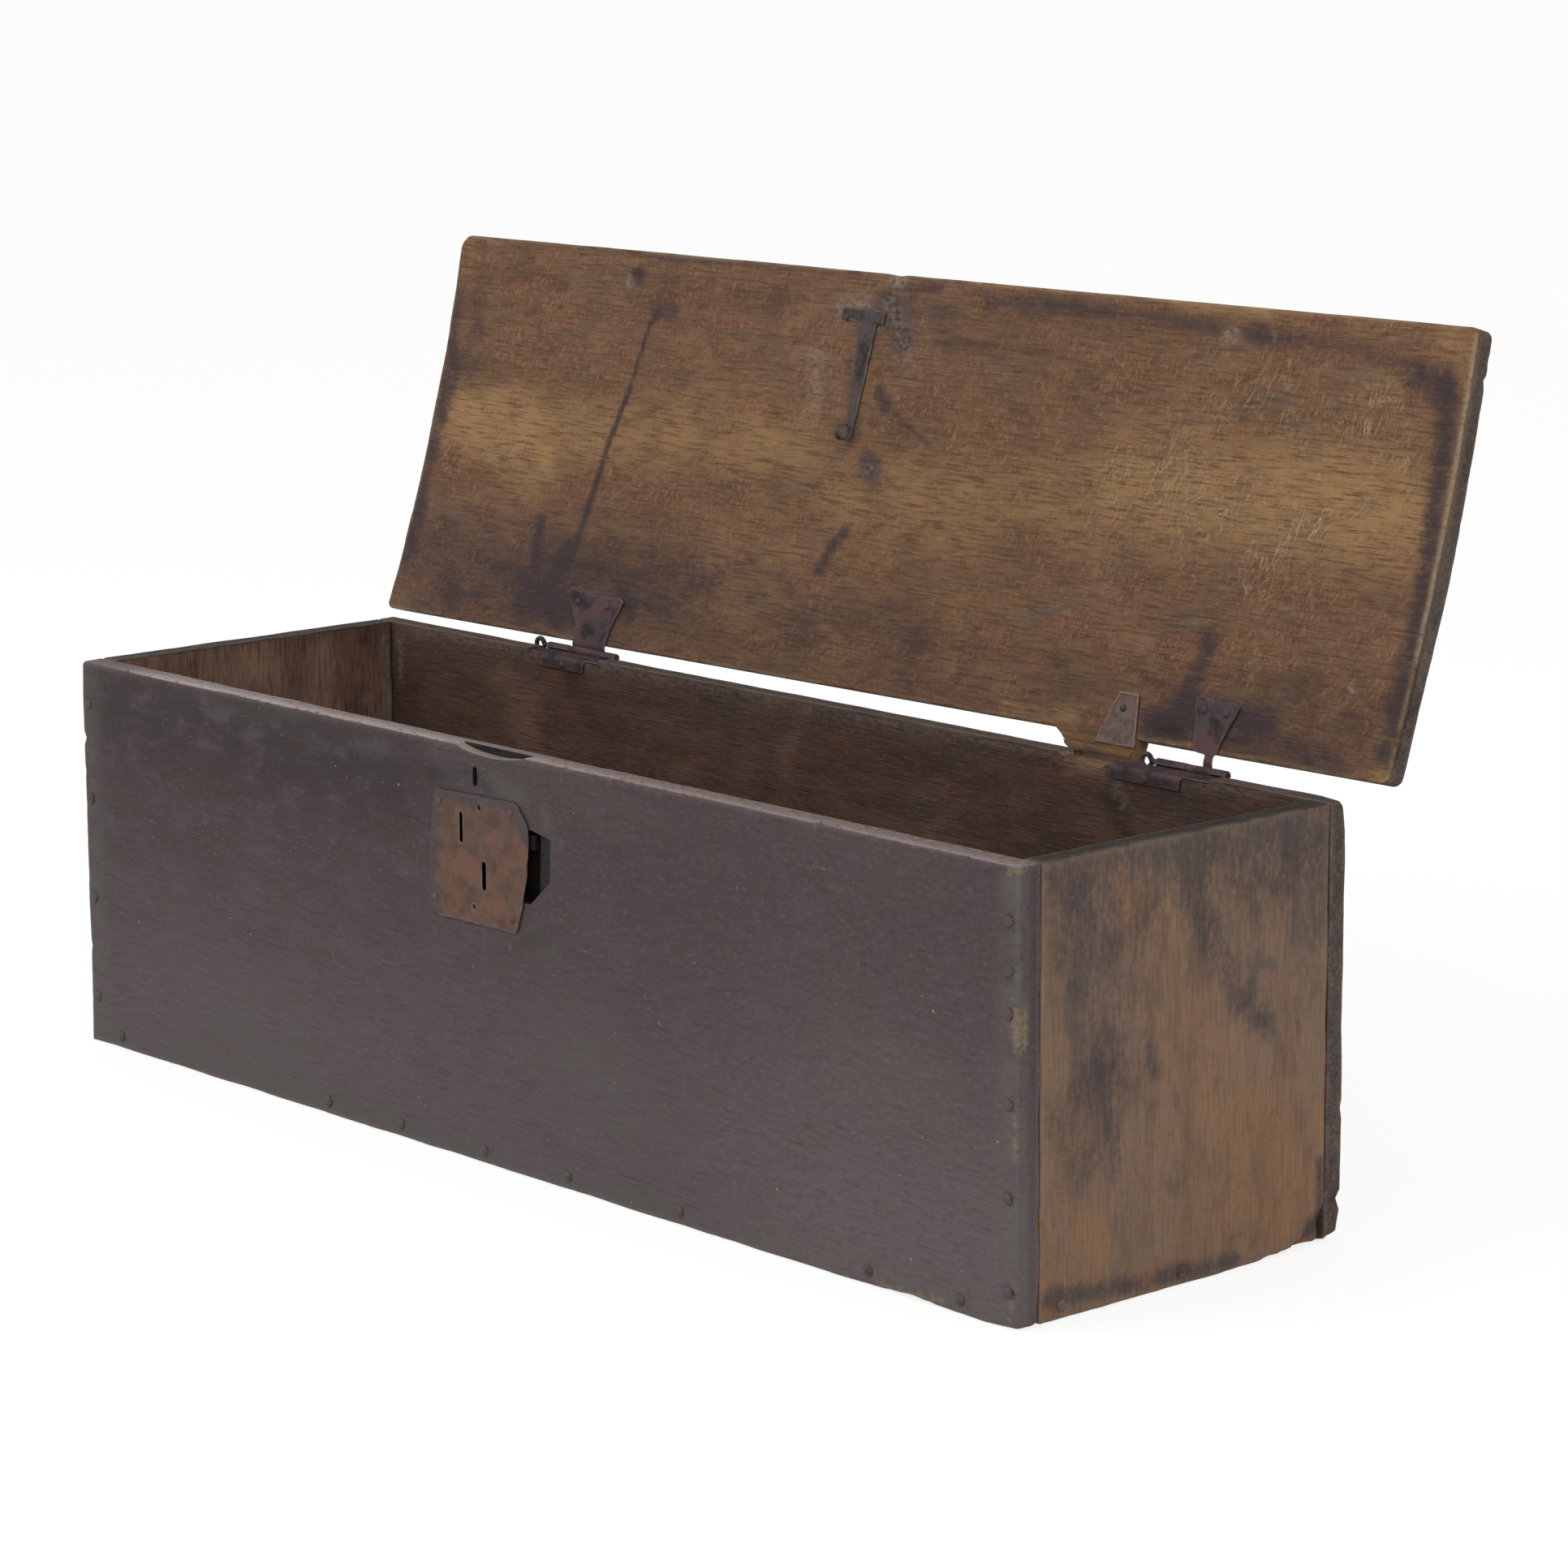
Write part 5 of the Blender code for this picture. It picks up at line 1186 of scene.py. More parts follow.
def fill_sheet(loops, step):
    """Cover a sheet with triangles: its spots, its triangles, and each loop as numbers of its spots."""
    flat, edges, rims = [], [], []
    for loop in loops:
        first = len(flat)
        flat += [Vector(point) for point in loop]
        edges += [(first + index, first + (index + 1) % len(loop)) for index in range(len(loop))]
        rims.append(range(first, len(flat)))

    def on_sheet(spot):
        return inside(spot, loops[0]) and not any(inside(spot, hole) for hole in loops[1:])

    low = [min(point[axis] for point in loops[0]) for axis in (0, 1)]
    high = [max(point[axis] for point in loops[0]) for axis in (0, 1)]
    boundary = np.array([tuple(point) for point in flat])
    for row in range(int((high[1] - low[1]) / step) + 1):
        for column in range(int((high[0] - low[0]) / step) + 1):
            spot = (low[0] + (column + 0.5 * (row % 2)) * step, low[1] + row * step)
            if np.hypot(*(boundary - spot).T).min() >= 0.55 * step and on_sheet(spot):
                flat.append(Vector(spot))
    spots, _, triangles, origins, _, _ = delaunay_2d_cdt(flat, edges, [], 0, 1e-7)
    number = {old: new for new, olds in enumerate(origins) for old in olds}
    middles = [sum((spots[corner] for corner in triangle), Vector((0.0, 0.0))) / 3
               for triangle in triangles]
    kept = [list(triangle) for triangle, middle in zip(triangles, middles) if on_sheet(middle)]
    return spots, kept, [[number[old] for old in rim] for rim in rims]


def forge(name, outline, thickness, bent, place, looks, step=0.0022, holes=(), calm=0.0, seed=0.0):
    """A sheet of iron: cut to an outline in (x, length along the bend), hammered, with eased rims, and bent.

    As far as its calm length it is rolled: its edge is straight there and it has no dents.
    """
    loops = sheet_loops(outline, holes, step, looks.ragged, calm, seed)
    spots, triangles, rims = fill_sheet(loops, step)
    count = len(spots)
    ease = min(thickness * 0.35, step * 0.3)
    eased = {}
    for loop, rim in zip(loops, rims):
        for normal, number in zip(outward_normals(loop), rim):
            eased[number] = spots[number] - normal * ease
    points = []

    def bend(spot, offset):
        along, normal = on_line(bent, spot[1])
        points.append(place(spot[0], along[0] + normal[0] * offset, along[1] + normal[1] * offset))

    for side in (-1, 1):
        for number, spot in enumerate(spots):
            # Broad and small dents from the hammer, but none where the sheet is rolled.
            dent = noise.noise(Vector((spot[0] * 95, spot[1] * 95, seed * 3 + side)))
            dent += 0.5 * noise.noise(Vector((spot[0] * 260, spot[1] * 260, seed * 5 + side)))
            quiet = min(max((spot[1] - calm) / 0.004, 0.0), 1.0) if calm else 1.0
            bend(eased.get(number, spot), side * (thickness / 2 - looks.hammer * quiet * (0.5 + 0.5 * dent)))
    faces = [triangle[::-1] for triangle in triangles]
    faces += [[corner + count for corner in triangle] for triangle in triangles]
    for rim in rims:
        first = len(points)
        for number in rim:
            bend(spots[number], 0.0)
        for index, one in enumerate(rim):
            following = (index + 1) % len(rim)
            two, near, far = rim[following], first + index, first + following
            faces += [[one, two, far, near], [near, far, two + count, one + count]]
    mesh = mesh_from(name, points, faces)
    bare = [float(number in eased) for number in range(count)]
    store(mesh, {"rim": np.array(bare + bare + [1.0] * (len(points) - 2 * count))})
    return mesh


def arc(centre, radius, start, end, steps):
    """Points along an arc, both ends included."""
    turns = [start + (end - start) * index / steps for index in range(steps + 1)]
    return [(centre[0] + radius * cos(turn), centre[1] + radius * sin(turn)) for turn in turns]


def along_underside(near, far, height, steps):
    """A line that follows the hollow under the lid."""
    reaches = [near + (far - near) * index / steps for index in range(steps + 1)]
    return [(reach, height + cup(reach)) for reach in reaches]


def tube_faces(rings, count):
    """Faces that join rings of points one after another and close both ends."""
    faces = []
    for first in range(0, (rings - 1) * count, count):
        for one in range(first, first + count):
            two = first + (one + 1 - first) % count
            faces.append([one, two, two + count, one + count])
    return [*faces, list(range(count)), list(range((rings - 1) * count, rings * count))]


DARK, RUSTY, RED, GREY, PAINTED_SHADE_IRON = ("dark wrought iron", "rusty lock iron", "red-brown wrought iron",
                                 "grey repair iron", "sooty lock iron")


def iron_finishes(context):
    """The ironwork's materials by name, made once."""
    looks = context.scene.chest_iron
    paint = " #4C4546"
    return kept_or_made({
        DARK: (tones_of(Iron, darker(looks.dark, 0.45), tone(looks.dark), "#574740 #7A706A" + paint), 0.35),
        RUSTY: (tones_of(Iron, shade("#4B3D33"), tone(looks.plate), "#6E5044 #77706A" + paint),
                0.55, 0.70, 0.62),
        RED: (tones_of(Iron, shade("#2F292A"), shade("#473D3E"), "#573F42 #6A5E5C" + paint), 0.6),
        GREY: (tones_of(Iron, shade("#4A3E39"), shade("#6B5B54"), "#6E4F46 #94867E" + paint), 0.5, 0.66, 0.7),
        PAINTED_SHADE_IRON: (tones_of(Iron, shade("#141211"), shade("#211C1B"), "#2B211F #2E2A28" + paint), 0.4, 0.75),
    }, iron)


# Hinges.

# Radius of the rolled sheet's middle, the thickness of each leaf, and the play beside the knuckles.
KNUCKLE = 0.00315
LID_LEAF = 0.0017
CHEST_LEAF = 0.0018
PLAY = 0.0004

# The pin: radii of its ring, of the wire there and of its shaft, how far the ring closes, and its edges.
PIN_RING = 0.0056
PIN_WIRE = 0.0023
PIN_SHAFT = 0.0019
PIN_CLOSED = 0.97
PIN_STEPS = 24
PIN_SIDES = 12

# Places along the axis: the knuckles, the pin's ring, the flared end, and where the chest leaf is bent down.
# The length is how far the leaf reaches along the lid.
Hinge = namedtuple("Hinge", "start lid_start lid_end end ring flare_left flare_right length "
                   "plate_left drop_left drop_right neck_left neck_right")
HINGES = {
    "left": Hinge(start=-0.3900, lid_start=-0.3582, lid_end=-0.3112, end=-0.2904, ring=-0.4030,
                  flare_left=-0.3852, flare_right=-0.3007, length=0.058, plate_left=-0.3900,
                  drop_left=-0.3695, drop_right=-0.3078, neck_left=-0.3582, neck_right=-0.3112),
    "right": Hinge(start=0.4090, lid_start=0.4443, lid_end=0.4718, end=0.4896, ring=0.3970,
                   flare_left=0.4338, flare_right=0.4838, length=0.062, plate_left=0.3800,
                   drop_left=0.3800, drop_right=0.4606, neck_left=0.4590, neck_right=0.4690),
}


def lid_leaf_mesh(name, hinge, looks, seed):
    """The leaf under the lid, rolled round the pin and flared."""
    roll = arc((0.0, 0.0), KNUCKLE, radians(-8), radians(-295), 40)
    entry = [(0.0033, 0.0021), (0.0052, 0.0011), (0.0075, 0.0004)]
    bent = bent_line(roll + entry + along_underside(0.0098, hinge.length, 0.0001, 20))
    rolled, total = bent[2][len(roll)], bent[2][-1]
    lap = float(np.interp(0.0145, bent[0][len(roll):, 0], bent[2][len(roll):]))
    straight = rolled + 0.022
    middle = (hinge.flare_left + hinge.flare_right) / 2
    outline = [(hinge.lid_start, 0.0), (hinge.lid_end, 0.0), (hinge.lid_end, rolled),
               (hinge.neck_right, rolled + 0.001), (hinge.neck_right, lap - 0.001),
               (hinge.lid_end, lap + 0.001), (hinge.lid_end + 0.001, straight),
               (hinge.flare_right, total - 0.005), (hinge.flare_right - 0.007, total - 0.001),
               (middle + 0.004, total - 0.0035), (hinge.flare_left + 0.006, total),
               (hinge.flare_left, total - 0.004),
               (hinge.lid_start - 0.001, straight), (hinge.lid_start, lap + 0.001),
               (hinge.neck_left, lap - 0.001), (hinge.neck_left, rolled + 0.001), (hinge.lid_start, rolled)]
    return forge(name, outline, LID_LEAF, bent, lid_place, looks, calm=rolled + 0.004, seed=seed)


def chest_leaf_mesh(name, hinge, looks, seed):
    """The leaf on the back board, rolled round the pin, let in and bent down the inner face."""
    roll = arc((0.0, 0.0), KNUCKLE, radians(-14), radians(290), 40)
    flat = [(0.0022, -0.0026), (0.0042, -0.0025), (0.0120, -0.0025), (0.0225, -0.0025)]
    fold = arc((0.0235, -0.0053), 0.0028, pi / 2, 0.0, 8)
    bent = bent_line(roll + flat + fold + [(0.0263, -0.0090), (0.0263, -0.0138)])
    rolled, total = bent[2][len(roll) + 1] + 0.0014, bent[2][-1]
    folded = bent[2][len(roll) + 4]
    outline = [(hinge.start, 0.0), (hinge.lid_start - PLAY, 0.0), (hinge.lid_start - PLAY, rolled),
               (hinge.lid_end + PLAY, rolled), (hinge.lid_end + PLAY, 0.0), (hinge.end, 0.0),
               (hinge.end, folded), (hinge.drop_right, folded + 0.001), (hinge.drop_right - 0.002, total),
               (hinge.drop_left + 0.002, total), (hinge.drop_left, folded + 0.001)]
    if hinge.drop_left > hinge.plate_left:
        outline.append((hinge.plate_left, folded))
    if hinge.plate_left < hinge.start:
        outline += [(hinge.plate_left, rolled + 0.001), (hinge.start, rolled)]
    return forge(name, outline, CHEST_LEAF, bent, chest_place, looks, calm=total, seed=seed)


def pin_mesh(name, hinge):
    """A hinge pin bent from one wire: a straight shaft and a ring that doesn't quite close."""
    start, end = hinge.end + 0.002, hinge.ring + PIN_RING + 0.004
    centre = Vector((hinge.ring, AXIS_Y, AXIS_Z))
    along = [start - (start - end) * index / PIN_STEPS for index in range(PIN_STEPS + 1)]
    line = [Vector((x, AXIS_Y, AXIS_Z)) for x in along]
    turns = [2 * pi * PIN_CLOSED * index / PIN_STEPS for index in range(1, PIN_STEPS + 1)]
    line += [centre + Vector((PIN_RING * cos(turn), 0.0, PIN_RING * sin(turn))) for turn in turns]
    side = Vector((0.0, 1.0, 0.0))
    last = len(line) - 1
    points = []
    for number, spot in enumerate(line):
        way = (line[min(number + 1, last)] - line[max(number - 1, 0)]).normalized()
        up = side.cross(way).normalized()
        radius = PIN_SHAFT if number < PIN_STEPS - 1 else PIN_WIRE
        if number in (0, last):
            radius *= 0.7
        if number > PIN_STEPS:
            radius *= 1.0 + 0.12 * noise.noise(spot * 300)
        angles = [2 * pi * index / PIN_SIDES for index in range(PIN_SIDES)]
        points += [spot + (side * cos(angle) + up * sin(angle)) * radius for angle in angles]
    return mesh_from(name, points, tube_faces(len(line), PIN_SIDES))


class CHEST_OT_hinges(bpy.types.Operator):
    """Forge the two hinges"""
    bl_idname = "chest.hinges"
    bl_label = "Hinges"

    def execute(self, context):
        looks = context.scene.chest_iron
        irons = iron_finishes(context)
        for seed, (side, hinge) in enumerate(HINGES.items(), 1):
            lid_leaf, chest_leaf = f"{side}_hinge_lid_leaf", f"{side}_hinge_chest_leaf"
            pin = f"{side}_hinge_pin"
            made = ((lid_leaf, "lid", lid_leaf_mesh(lid_leaf, hinge, looks, seed), RED),
                    (chest_leaf, "chest", chest_leaf_mesh(chest_leaf, hinge, looks, seed + 5), RED),
                    (pin, "chest", pin_mesh(pin, hinge), DARK))
            for node, body, mesh, material in made:
                add_piece("forged_" + node, mesh, body, [node], [irons[material]])
        return {"FINISHED"}


# The repair at the right hinge: a raw block whose left end is split off askew, and a tapered strap over it.
# The block's nose is round the axis, and its heel behind the axis stops the lid.

BLOCK_LEFT = 0.282
BLOCK_RIGHT = 0.380
BLOCK_SLANT = 0.030
BLOCK_FRONT = 0.01600
BLOCK_TOP = 0.0168
BLOCK_HEEL = 0.0095
BLOCK_NOSE = 0.0052
BLOCK_NOSE_END = 0.2526
BLOCK_STEP = 0.0012
BLOCK_SLICES = 64
BLOCK_GOLD = 0.25
BLOCK_STAIN = 0.55
STAIN_FROM = 0.002
STAIN_FADE = 0.008
SPLIT_DEPTH = 0.0009
STRAP_NEAR = 0.0078
STRAP_FAR = 0.0534
STRAP_MIDDLE = 0.3565
STRAP_SHEET = 0.0015


def block_ring():
    """The block's outline across the lid, as points in front of the axis and above it."""
    heel = (-BLOCK_HEEL * cos(OPEN) - BLOCK_NOSE) / sin(OPEN)
    corners = [(BLOCK_FRONT, LID_UNDERSIDE + cup(BLOCK_FRONT)), (BLOCK_FRONT, BLOCK_TOP),
               (-BLOCK_HEEL * 0.4, BLOCK_TOP), (-BLOCK_HEEL, BLOCK_TOP * 0.4), (-BLOCK_HEEL, heel)]
    return divide(corners + arc((0.0, 0.0), BLOCK_NOSE, -OPEN, BLOCK_NOSE_END, 10), BLOCK_STEP)


def block_mesh():
    """The repair block, split along its grain, with its lower part stained."""
    ring = block_ring()
    centre = [sum(point[axis] for point in ring) / len(ring) for axis in (0, 1)]
    points, places = [], []
    for number in range(BLOCK_SLICES + 1):
        share = number / BLOCK_SLICES
        shrink = 1 - 0.05 * falloff(min(share, 1 - share) / 0.05)
        for reach, height in ring:
            left = BLOCK_LEFT + BLOCK_SLANT * min(max((BLOCK_FRONT - reach) / 0.020, 0.0), 1.0)
            left += 0.004 * noise.noise(Vector((reach * 400, height * 400, 1.0)))
            x = left + (BLOCK_RIGHT - left) * share

            # Long splits along the grain, with finer ones in them.
            split = noise.noise(Vector((x * 16, reach * 520, height * 520)))
            split += 0.6 * noise.noise(Vector((x * 50, reach * 1200, height * 1200 + 9)))
            depth = SPLIT_DEPTH * max(0.0, 0.35 + split)
            out = [(reach - centre[0]) * shrink, (height - centre[1]) * shrink]
            left_over = 1 - depth / hypot(*out)
            points.append(lid_place(x, centre[0] + out[0] * left_over, centre[1] + out[1] * left_over))
            places.append((x, reach, height))
    mesh = mesh_from("split_repair_block", points, tube_faces(BLOCK_SLICES + 1, len(ring)))
    places = np.array(places)
    stain = np.clip((STAIN_FROM - places[:, 1]) / STAIN_FADE, 0, BLOCK_STAIN)
    gold = np.full(len(places), BLOCK_GOLD)
    store(mesh, {"stain": stain, "gold": gold}, places * (1, 2.2, 2.2) + 9.1)
    return mesh


class CHEST_OT_hinge_repair(bpy.types.Operator):
    """Make the split repair block and its strap"""
    bl_idname = "chest.hinge_repair"
    bl_label = "Hinge repair"

    def execute(self, context):
        add_piece("split_repair_block", block_mesh(), "lid", ["hinge_repair_block"],
                  [finishes(context)["raw split pine"]])
        bent = bent_line(along_underside(STRAP_NEAR, STRAP_FAR, 0.0001, 16))
        total = bent[2][-1]
        corners = ((-0.0235, 0.0), (0.0235, 0.0), (0.0135, total), (-0.0095, total))
        outline = [(STRAP_MIDDLE + x, along) for x, along in corners]
        looks = context.scene.chest_iron
        mesh = forge("forged_repair_strap", outline, STRAP_SHEET, bent, lid_place, looks, seed=4.0)
        add_piece("forged_repair_strap", mesh, "lid", ["hinge_repair_strap"],
                  [iron_finishes(context)[GREY]])
        return {"FINISHED"}


# The hasp strap: its middle, how far its plate and its curled tail are in front of the axis, and its curl.
HASP_X = -0.050
HASP_FRONT = 0.3526
HASP_REAR = 0.3386
HASP_TIP = 0.2386
HASP_HEIGHT = 0.0003
HASP_CURL = 0.0070
HASP_CURLED = radians(290)
HASP_SHEET = 0.0014
HASP_STEP = 0.0024


class CHEST_OT_hasp_strap(bpy.types.Operator):
    """Forge the hasp strap with its curled end"""
    bl_idname = "chest.hasp_strap"
    bl_label = "Hasp strap"

    def execute(self, context):
        centre = (HASP_TIP, HASP_HEIGHT + cup(HASP_TIP) - HASP_CURL)
        curl = arc(centre, HASP_CURL, pi / 2 + HASP_CURLED, pi / 2, 30)
        bent = bent_line(curl + along_underside(HASP_TIP, HASP_FRONT, HASP_HEIGHT, 30)[1:])
        start, total = bent[2][len(curl)], bent[2][-1]
        cross = total - (HASP_FRONT - HASP_REAR)
        corners = ((-0.0036, 0.0), (0.0036, 0.0), (0.0045, start), (0.0075, start + 0.03),
                   (0.0120, cross - 0.004), (0.0130, cross), (0.0215, cross + 0.001), (0.0220, total - 0.002),
                   (-0.006, total), (-0.0345, total - 0.001), (-0.0350, cross + 0.002), (-0.0115, cross),
                   (-0.0105, cross - 0.006), (-0.0072, start + 0.03), (-0.0045, start))
        outline = [(HASP_X + x, along) for x, along in corners]
        looks = context.scene.chest_iron
        mesh = forge("forged_hasp_strap", outline, HASP_SHEET, bent, lid_place, looks, HASP_STEP, seed=2.0)
        add_piece("forged_hasp_strap", mesh, "lid", ["hasp_strap"],
                  [iron_finishes(context)[DARK]])
        return {"FINISHED"}


# The lock plate in (x, z): its outline, its slots by x, low end, high end and width, and its painted rim.
PLATE_FOOT = 0.20
PLATE_HEAD = 0.34
PLATE_CORNERS = ((-0.0970, 0.2120), (-0.0940, 0.2112), (0.0200, 0.2120), (0.0232, 0.2150), (0.0300, 0.2350),
                 (0.0365, 0.2600), (0.0398, 0.2900), (0.0402, 0.3040), (0.0370, 0.3100), (0.0270, 0.3225),
                 (0.0210, 0.3245), (-0.0300, 0.3236), (-0.0840, 0.3222), (-0.0880, 0.3180), (-0.0925, 0.2900),
                 (-0.0960, 0.2500))
PLATE_SLOTS = ((-0.051, 0.28005, 0.30655, 0.0044), (-0.0206, 0.2425, 0.2675, 0.0055),
               (-0.0260, 0.3110, 0.3162, 0.0036), (-0.0350, 0.2242, 0.2282, 0.0030))
PLATE_RIM = ((-0.097, 0.210), (-0.088, 0.3235), (0.022, 0.325), (0.040, 0.300))
PLATE_RIM_WIDTH = 0.018
PLATE_SHEET = 0.0019
PLATE_STEP = 0.0026
WORKS = ("lock_bolt", "bolt_guide_left", "bolt_guide_right", "lock_spring")


class CHEST_OT_lock(bpy.types.Operator):
    """Forge the lock plate and finish the works behind it"""
    bl_idname = "chest.lock"
    bl_label = "Lock"

    def execute(self, context):
        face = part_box("lock_plate")
        middle = (face[0].y + face[1].y) / 2

        def on_front(x, offset, height):
            return Vector((x, middle + offset, height))

        outline, *holes = ([(x, z - PLATE_FOOT) for x, z in loop]
                           for loop in (PLATE_CORNERS, *(slot_outline(*slot) for slot in PLATE_SLOTS)))
        bent = bent_line([(0.0, PLATE_FOOT), (0.0, PLATE_HEAD)])
        looks = context.scene.chest_iron
        mesh = forge("forged_lock_plate", outline, PLATE_SHEET, bent, on_front, looks, PLATE_STEP, holes,
                     seed=6.0)
        places = np.array([(vertex.co.x, vertex.co.z) for vertex in mesh.vertices])
        store(mesh, {"coat": 1.1 - distance_to_path(places, PLATE_RIM) / PLATE_RIM_WIDTH})
        irons = iron_finishes(context)
        add_piece("forged_lock_plate", mesh, "chest", ["lock_plate"], [irons[RUSTY]])
        # The works behind the plate get a near-black iron: painted shade for the dark pocket they sit in.
        for node in WORKS:
            works = frame["nodes"][node].data
            works.materials.clear()
            works.materials.append(irons[PAINTED_SHADE_IRON])
        return {"FINISHED"}


# Nails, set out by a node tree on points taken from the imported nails.


def nail_tree(material):
    """Geometry nodes that put an uneven forged head on each point."""
    tree = bpy.data.node_groups.new("forged nail heads", "GeometryNodeTree")
    for name, kind in (("Nails", "Geometry"), ("Facets", "Int"), ("Unevenness", "Float"), ("Seed", "Int")):
        tree.interface.new_socket(name, in_out="INPUT", socket_type="NodeSocket" + kind)
    tree.interface.new_socket("Heads", in_out="OUTPUT", socket_type="NodeSocketGeometry")
    given = add(tree, "NodeGroupInput").node.outputs
    ball = add(tree, "GeometryNodeMeshUVSphere", {"Segments": given["Facets"], "Rings": 8, "Radius": 1.0})
    facing = add(tree, "GeometryNodeInputNamedAttribute", {"Name": "facing"}, data_type="FLOAT_VECTOR")
    size = add(tree, "GeometryNodeInputNamedAttribute", {"Name": "head"}, data_type="FLOAT_VECTOR")
    upright = add(tree, "FunctionNodeAlignRotationToVector", {"Vector": facing}, axis="Z")
    spin = add(tree, "FunctionNodeRandomValue", {2: 0.0, 3: 2 * pi, "Seed": given["Seed"]}, 1,
               data_type="FLOAT")
    turn = add(tree, "FunctionNodeAxisAngleToRotation", {"Axis": (0.0, 0.0, 1.0), "Angle": spin})
    turned = add(tree, "FunctionNodeRotateRotation", {0: upright, 1: turn}, rotation_space="LOCAL")
    placed = add(tree, "GeometryNodeInstanceOnPoints",
                 {"Points": given["Nails"], "Instance": ball, "Rotation": turned, "Scale": size})
    real = add(tree, "GeometryNodeRealizeInstances", {"Geometry": placed})
    rough = add(tree, "ShaderNodeTexNoise", {"Scale": 260.0, "Detail": 2.0}, "Color")
    centred = add(tree, "ShaderNodeVectorMath", {0: rough, 1: (0.5, 0.5, 0.5)}, operation="SUBTRACT")
    offset = add(tree, "ShaderNodeVectorMath", {0: centred, "Scale": given["Unevenness"]}, operation="SCALE")
    moved = add(tree, "GeometryNodeSetPosition", {"Geometry": real, "Offset": offset})
    coated = add(tree, "GeometryNodeSetMaterial", {"Geometry": moved, "Material": material})
    add(tree, "NodeGroupOutput", {"Heads": coated})
    return tree


# The way that nails look, by the start of their names. The others are in the lid.
FACINGS = (("front_", (0, -1, 0)), ("lock_plate", (0, -1, 0)), ("left_chest_leaf", (0, -1, 0)),
           ("right_chest_leaf", (0, -1, 0)), ("back_", (0, 1, 0)), ("right_end", (1, 0, 0)),
           ("left_end", (-1, 0, 0)))

# Height and radius of a tack's head and of a nail's, and how oval they are.
TACK_HEAD = (0.0016, 0.0037)
NAIL_HEAD = (0.0024, 0.0053)
OVAL = 0.94

# A packed nail's rim lies this far below its top, and a narrower rim than this is a tack's.
RIM_BELOW = 0.0026
TACK_WIDTH = 0.009

# Where nails are outside the chest, and which of these are in the lock plate and so have no paint on them.
FRONT_FACE = -0.18
RIGHT_FACE = 0.62
PLATE_MIDDLE = -0.03
PLATE_HALF_WIDTH = 0.08

# How much paint is on the front's nails, and how pale their rims are outside the chest and elsewhere: rubbed,
# and outside the chest also a painted highlight.
NAIL_PAINT = 0.55
RUBBED_AND_HIGHLIT_OUTSIDE = 0.9
BRIGHT_ELSEWHERE = 0.25


def nail_head(node):
    """Place, direction and size of a packed nail's head."""
    facing = next((Vector(way) for start, way in FACINGS if node.startswith(start)), LID_OUT)
    corners = [vertex.co for vertex in frame["nodes"][node].data.vertices]
    top = max(corners, key=lambda corner: corner.dot(facing))
    rim = [corner for corner in corners if corner.dot(facing) > top.dot(facing) - RIM_BELOW]
    width = max((one - two).length for one in rim for two in rim)
    height, radius = TACK_HEAD if width < TACK_WIDTH else NAIL_HEAD
    return top - facing * height, facing, (radius, radius * OVAL, height)


def heads_mesh(body, nodes, tree, context):
    """The heads of a body's nails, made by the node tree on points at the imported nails."""
    looks = context.scene.chest_iron
    places, facings, heads = zip(*(nail_head(node) for node in nodes))
    mesh = bpy.data.meshes.new(f"{body}_nails")
    mesh.from_pydata([tuple(place) for place in places], [], [])
    for name, values in (("facing", facings), ("head", heads)):
        layer = mesh.attributes.new(name, "FLOAT_VECTOR", "POINT")
        layer.data.foreach_set("vector", np.array(values, np.float32).ravel())
    draft = bpy.data.objects.new(f"{body}_nail_points", mesh)
    context.scene.collection.objects.link(draft)
    modifier = draft.modifiers.new("heads", "NODES")
    modifier.node_group = tree
    names = {item.name: item.identifier for item in tree.interface.items_tree if item.in_out == "INPUT"}
    for name, value in (("Facets", looks.facets), ("Unevenness", looks.uneven), ("Seed", looks.seed)):
        modifier[names[name]] = value
    evaluated = draft.evaluated_get(context.evaluated_depsgraph_get())
    made = bpy.data.meshes.new_from_object(evaluated)
    bpy.data.objects.remove(draft, do_unlink=True)
    if not made.polygons:
        raise RuntimeError(f"no nail heads were made for the {body}")
    return made


class CHEST_OT_nails(bpy.types.Operator):
    """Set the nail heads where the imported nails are"""
    bl_idname = "chest.nails"
    bl_label = "Nails"

    def execute(self, context):
        material = iron_finishes(context)[DARK]
        tree = nail_tree(material)
        for body in ("chest", "lid"):
            nodes = [node for node in frame["record"]["behaviour"]["bodies"][body] if "_nail" in node]
            if not nodes:
                raise RuntimeError(f"the {body} has no nails")
            made = heads_mesh(body, nodes, tree, context)
            x, y, z = np.array([tuple(vertex.co) for vertex in made.vertices]).T
            front = y < FRONT_FACE
            painted = front & ((abs(x - PLATE_MIDDLE) > PLATE_HALF_WIDTH) | (z < PLATE_FOOT))
            outside = front | (x > RIGHT_FACE)
            # Painted highlight: nails outside the chest get paler rims than the others.
            bright = np.where(outside, RUBBED_AND_HIGHLIT_OUTSIDE, BRIGHT_ELSEWHERE)
            store(made, {"coat": painted * NAIL_PAINT, "rim": bright})
            add_piece(f"{body}_nail_heads", made, body, nodes, [material])
        return {"FINISHED"}


# Stage.

FLOOR_HALF = 30
FLOOR_BELOW = 0.0005
PURE_WHITE = (1.0, 1.0, 1.0, 1.0)

# How bright the floor glows, and how much of that is seen. It keeps the paper white in the picture.
GLOW = 1.13
GLOW_SHARE = 0.72

# Each lamp has a place and a size. They look at the middle of the chest.
LAMPS = {"key": ((-1.3, -2.9, 2.9), 2.6), "fill": ((3.0, -0.9, 2.2), 2.2)}
LIT = (0.0, 0.0, 0.3)

CAMERA_TARGET = (0.1551, 0.0, 0.335)
SENSOR = 36.0


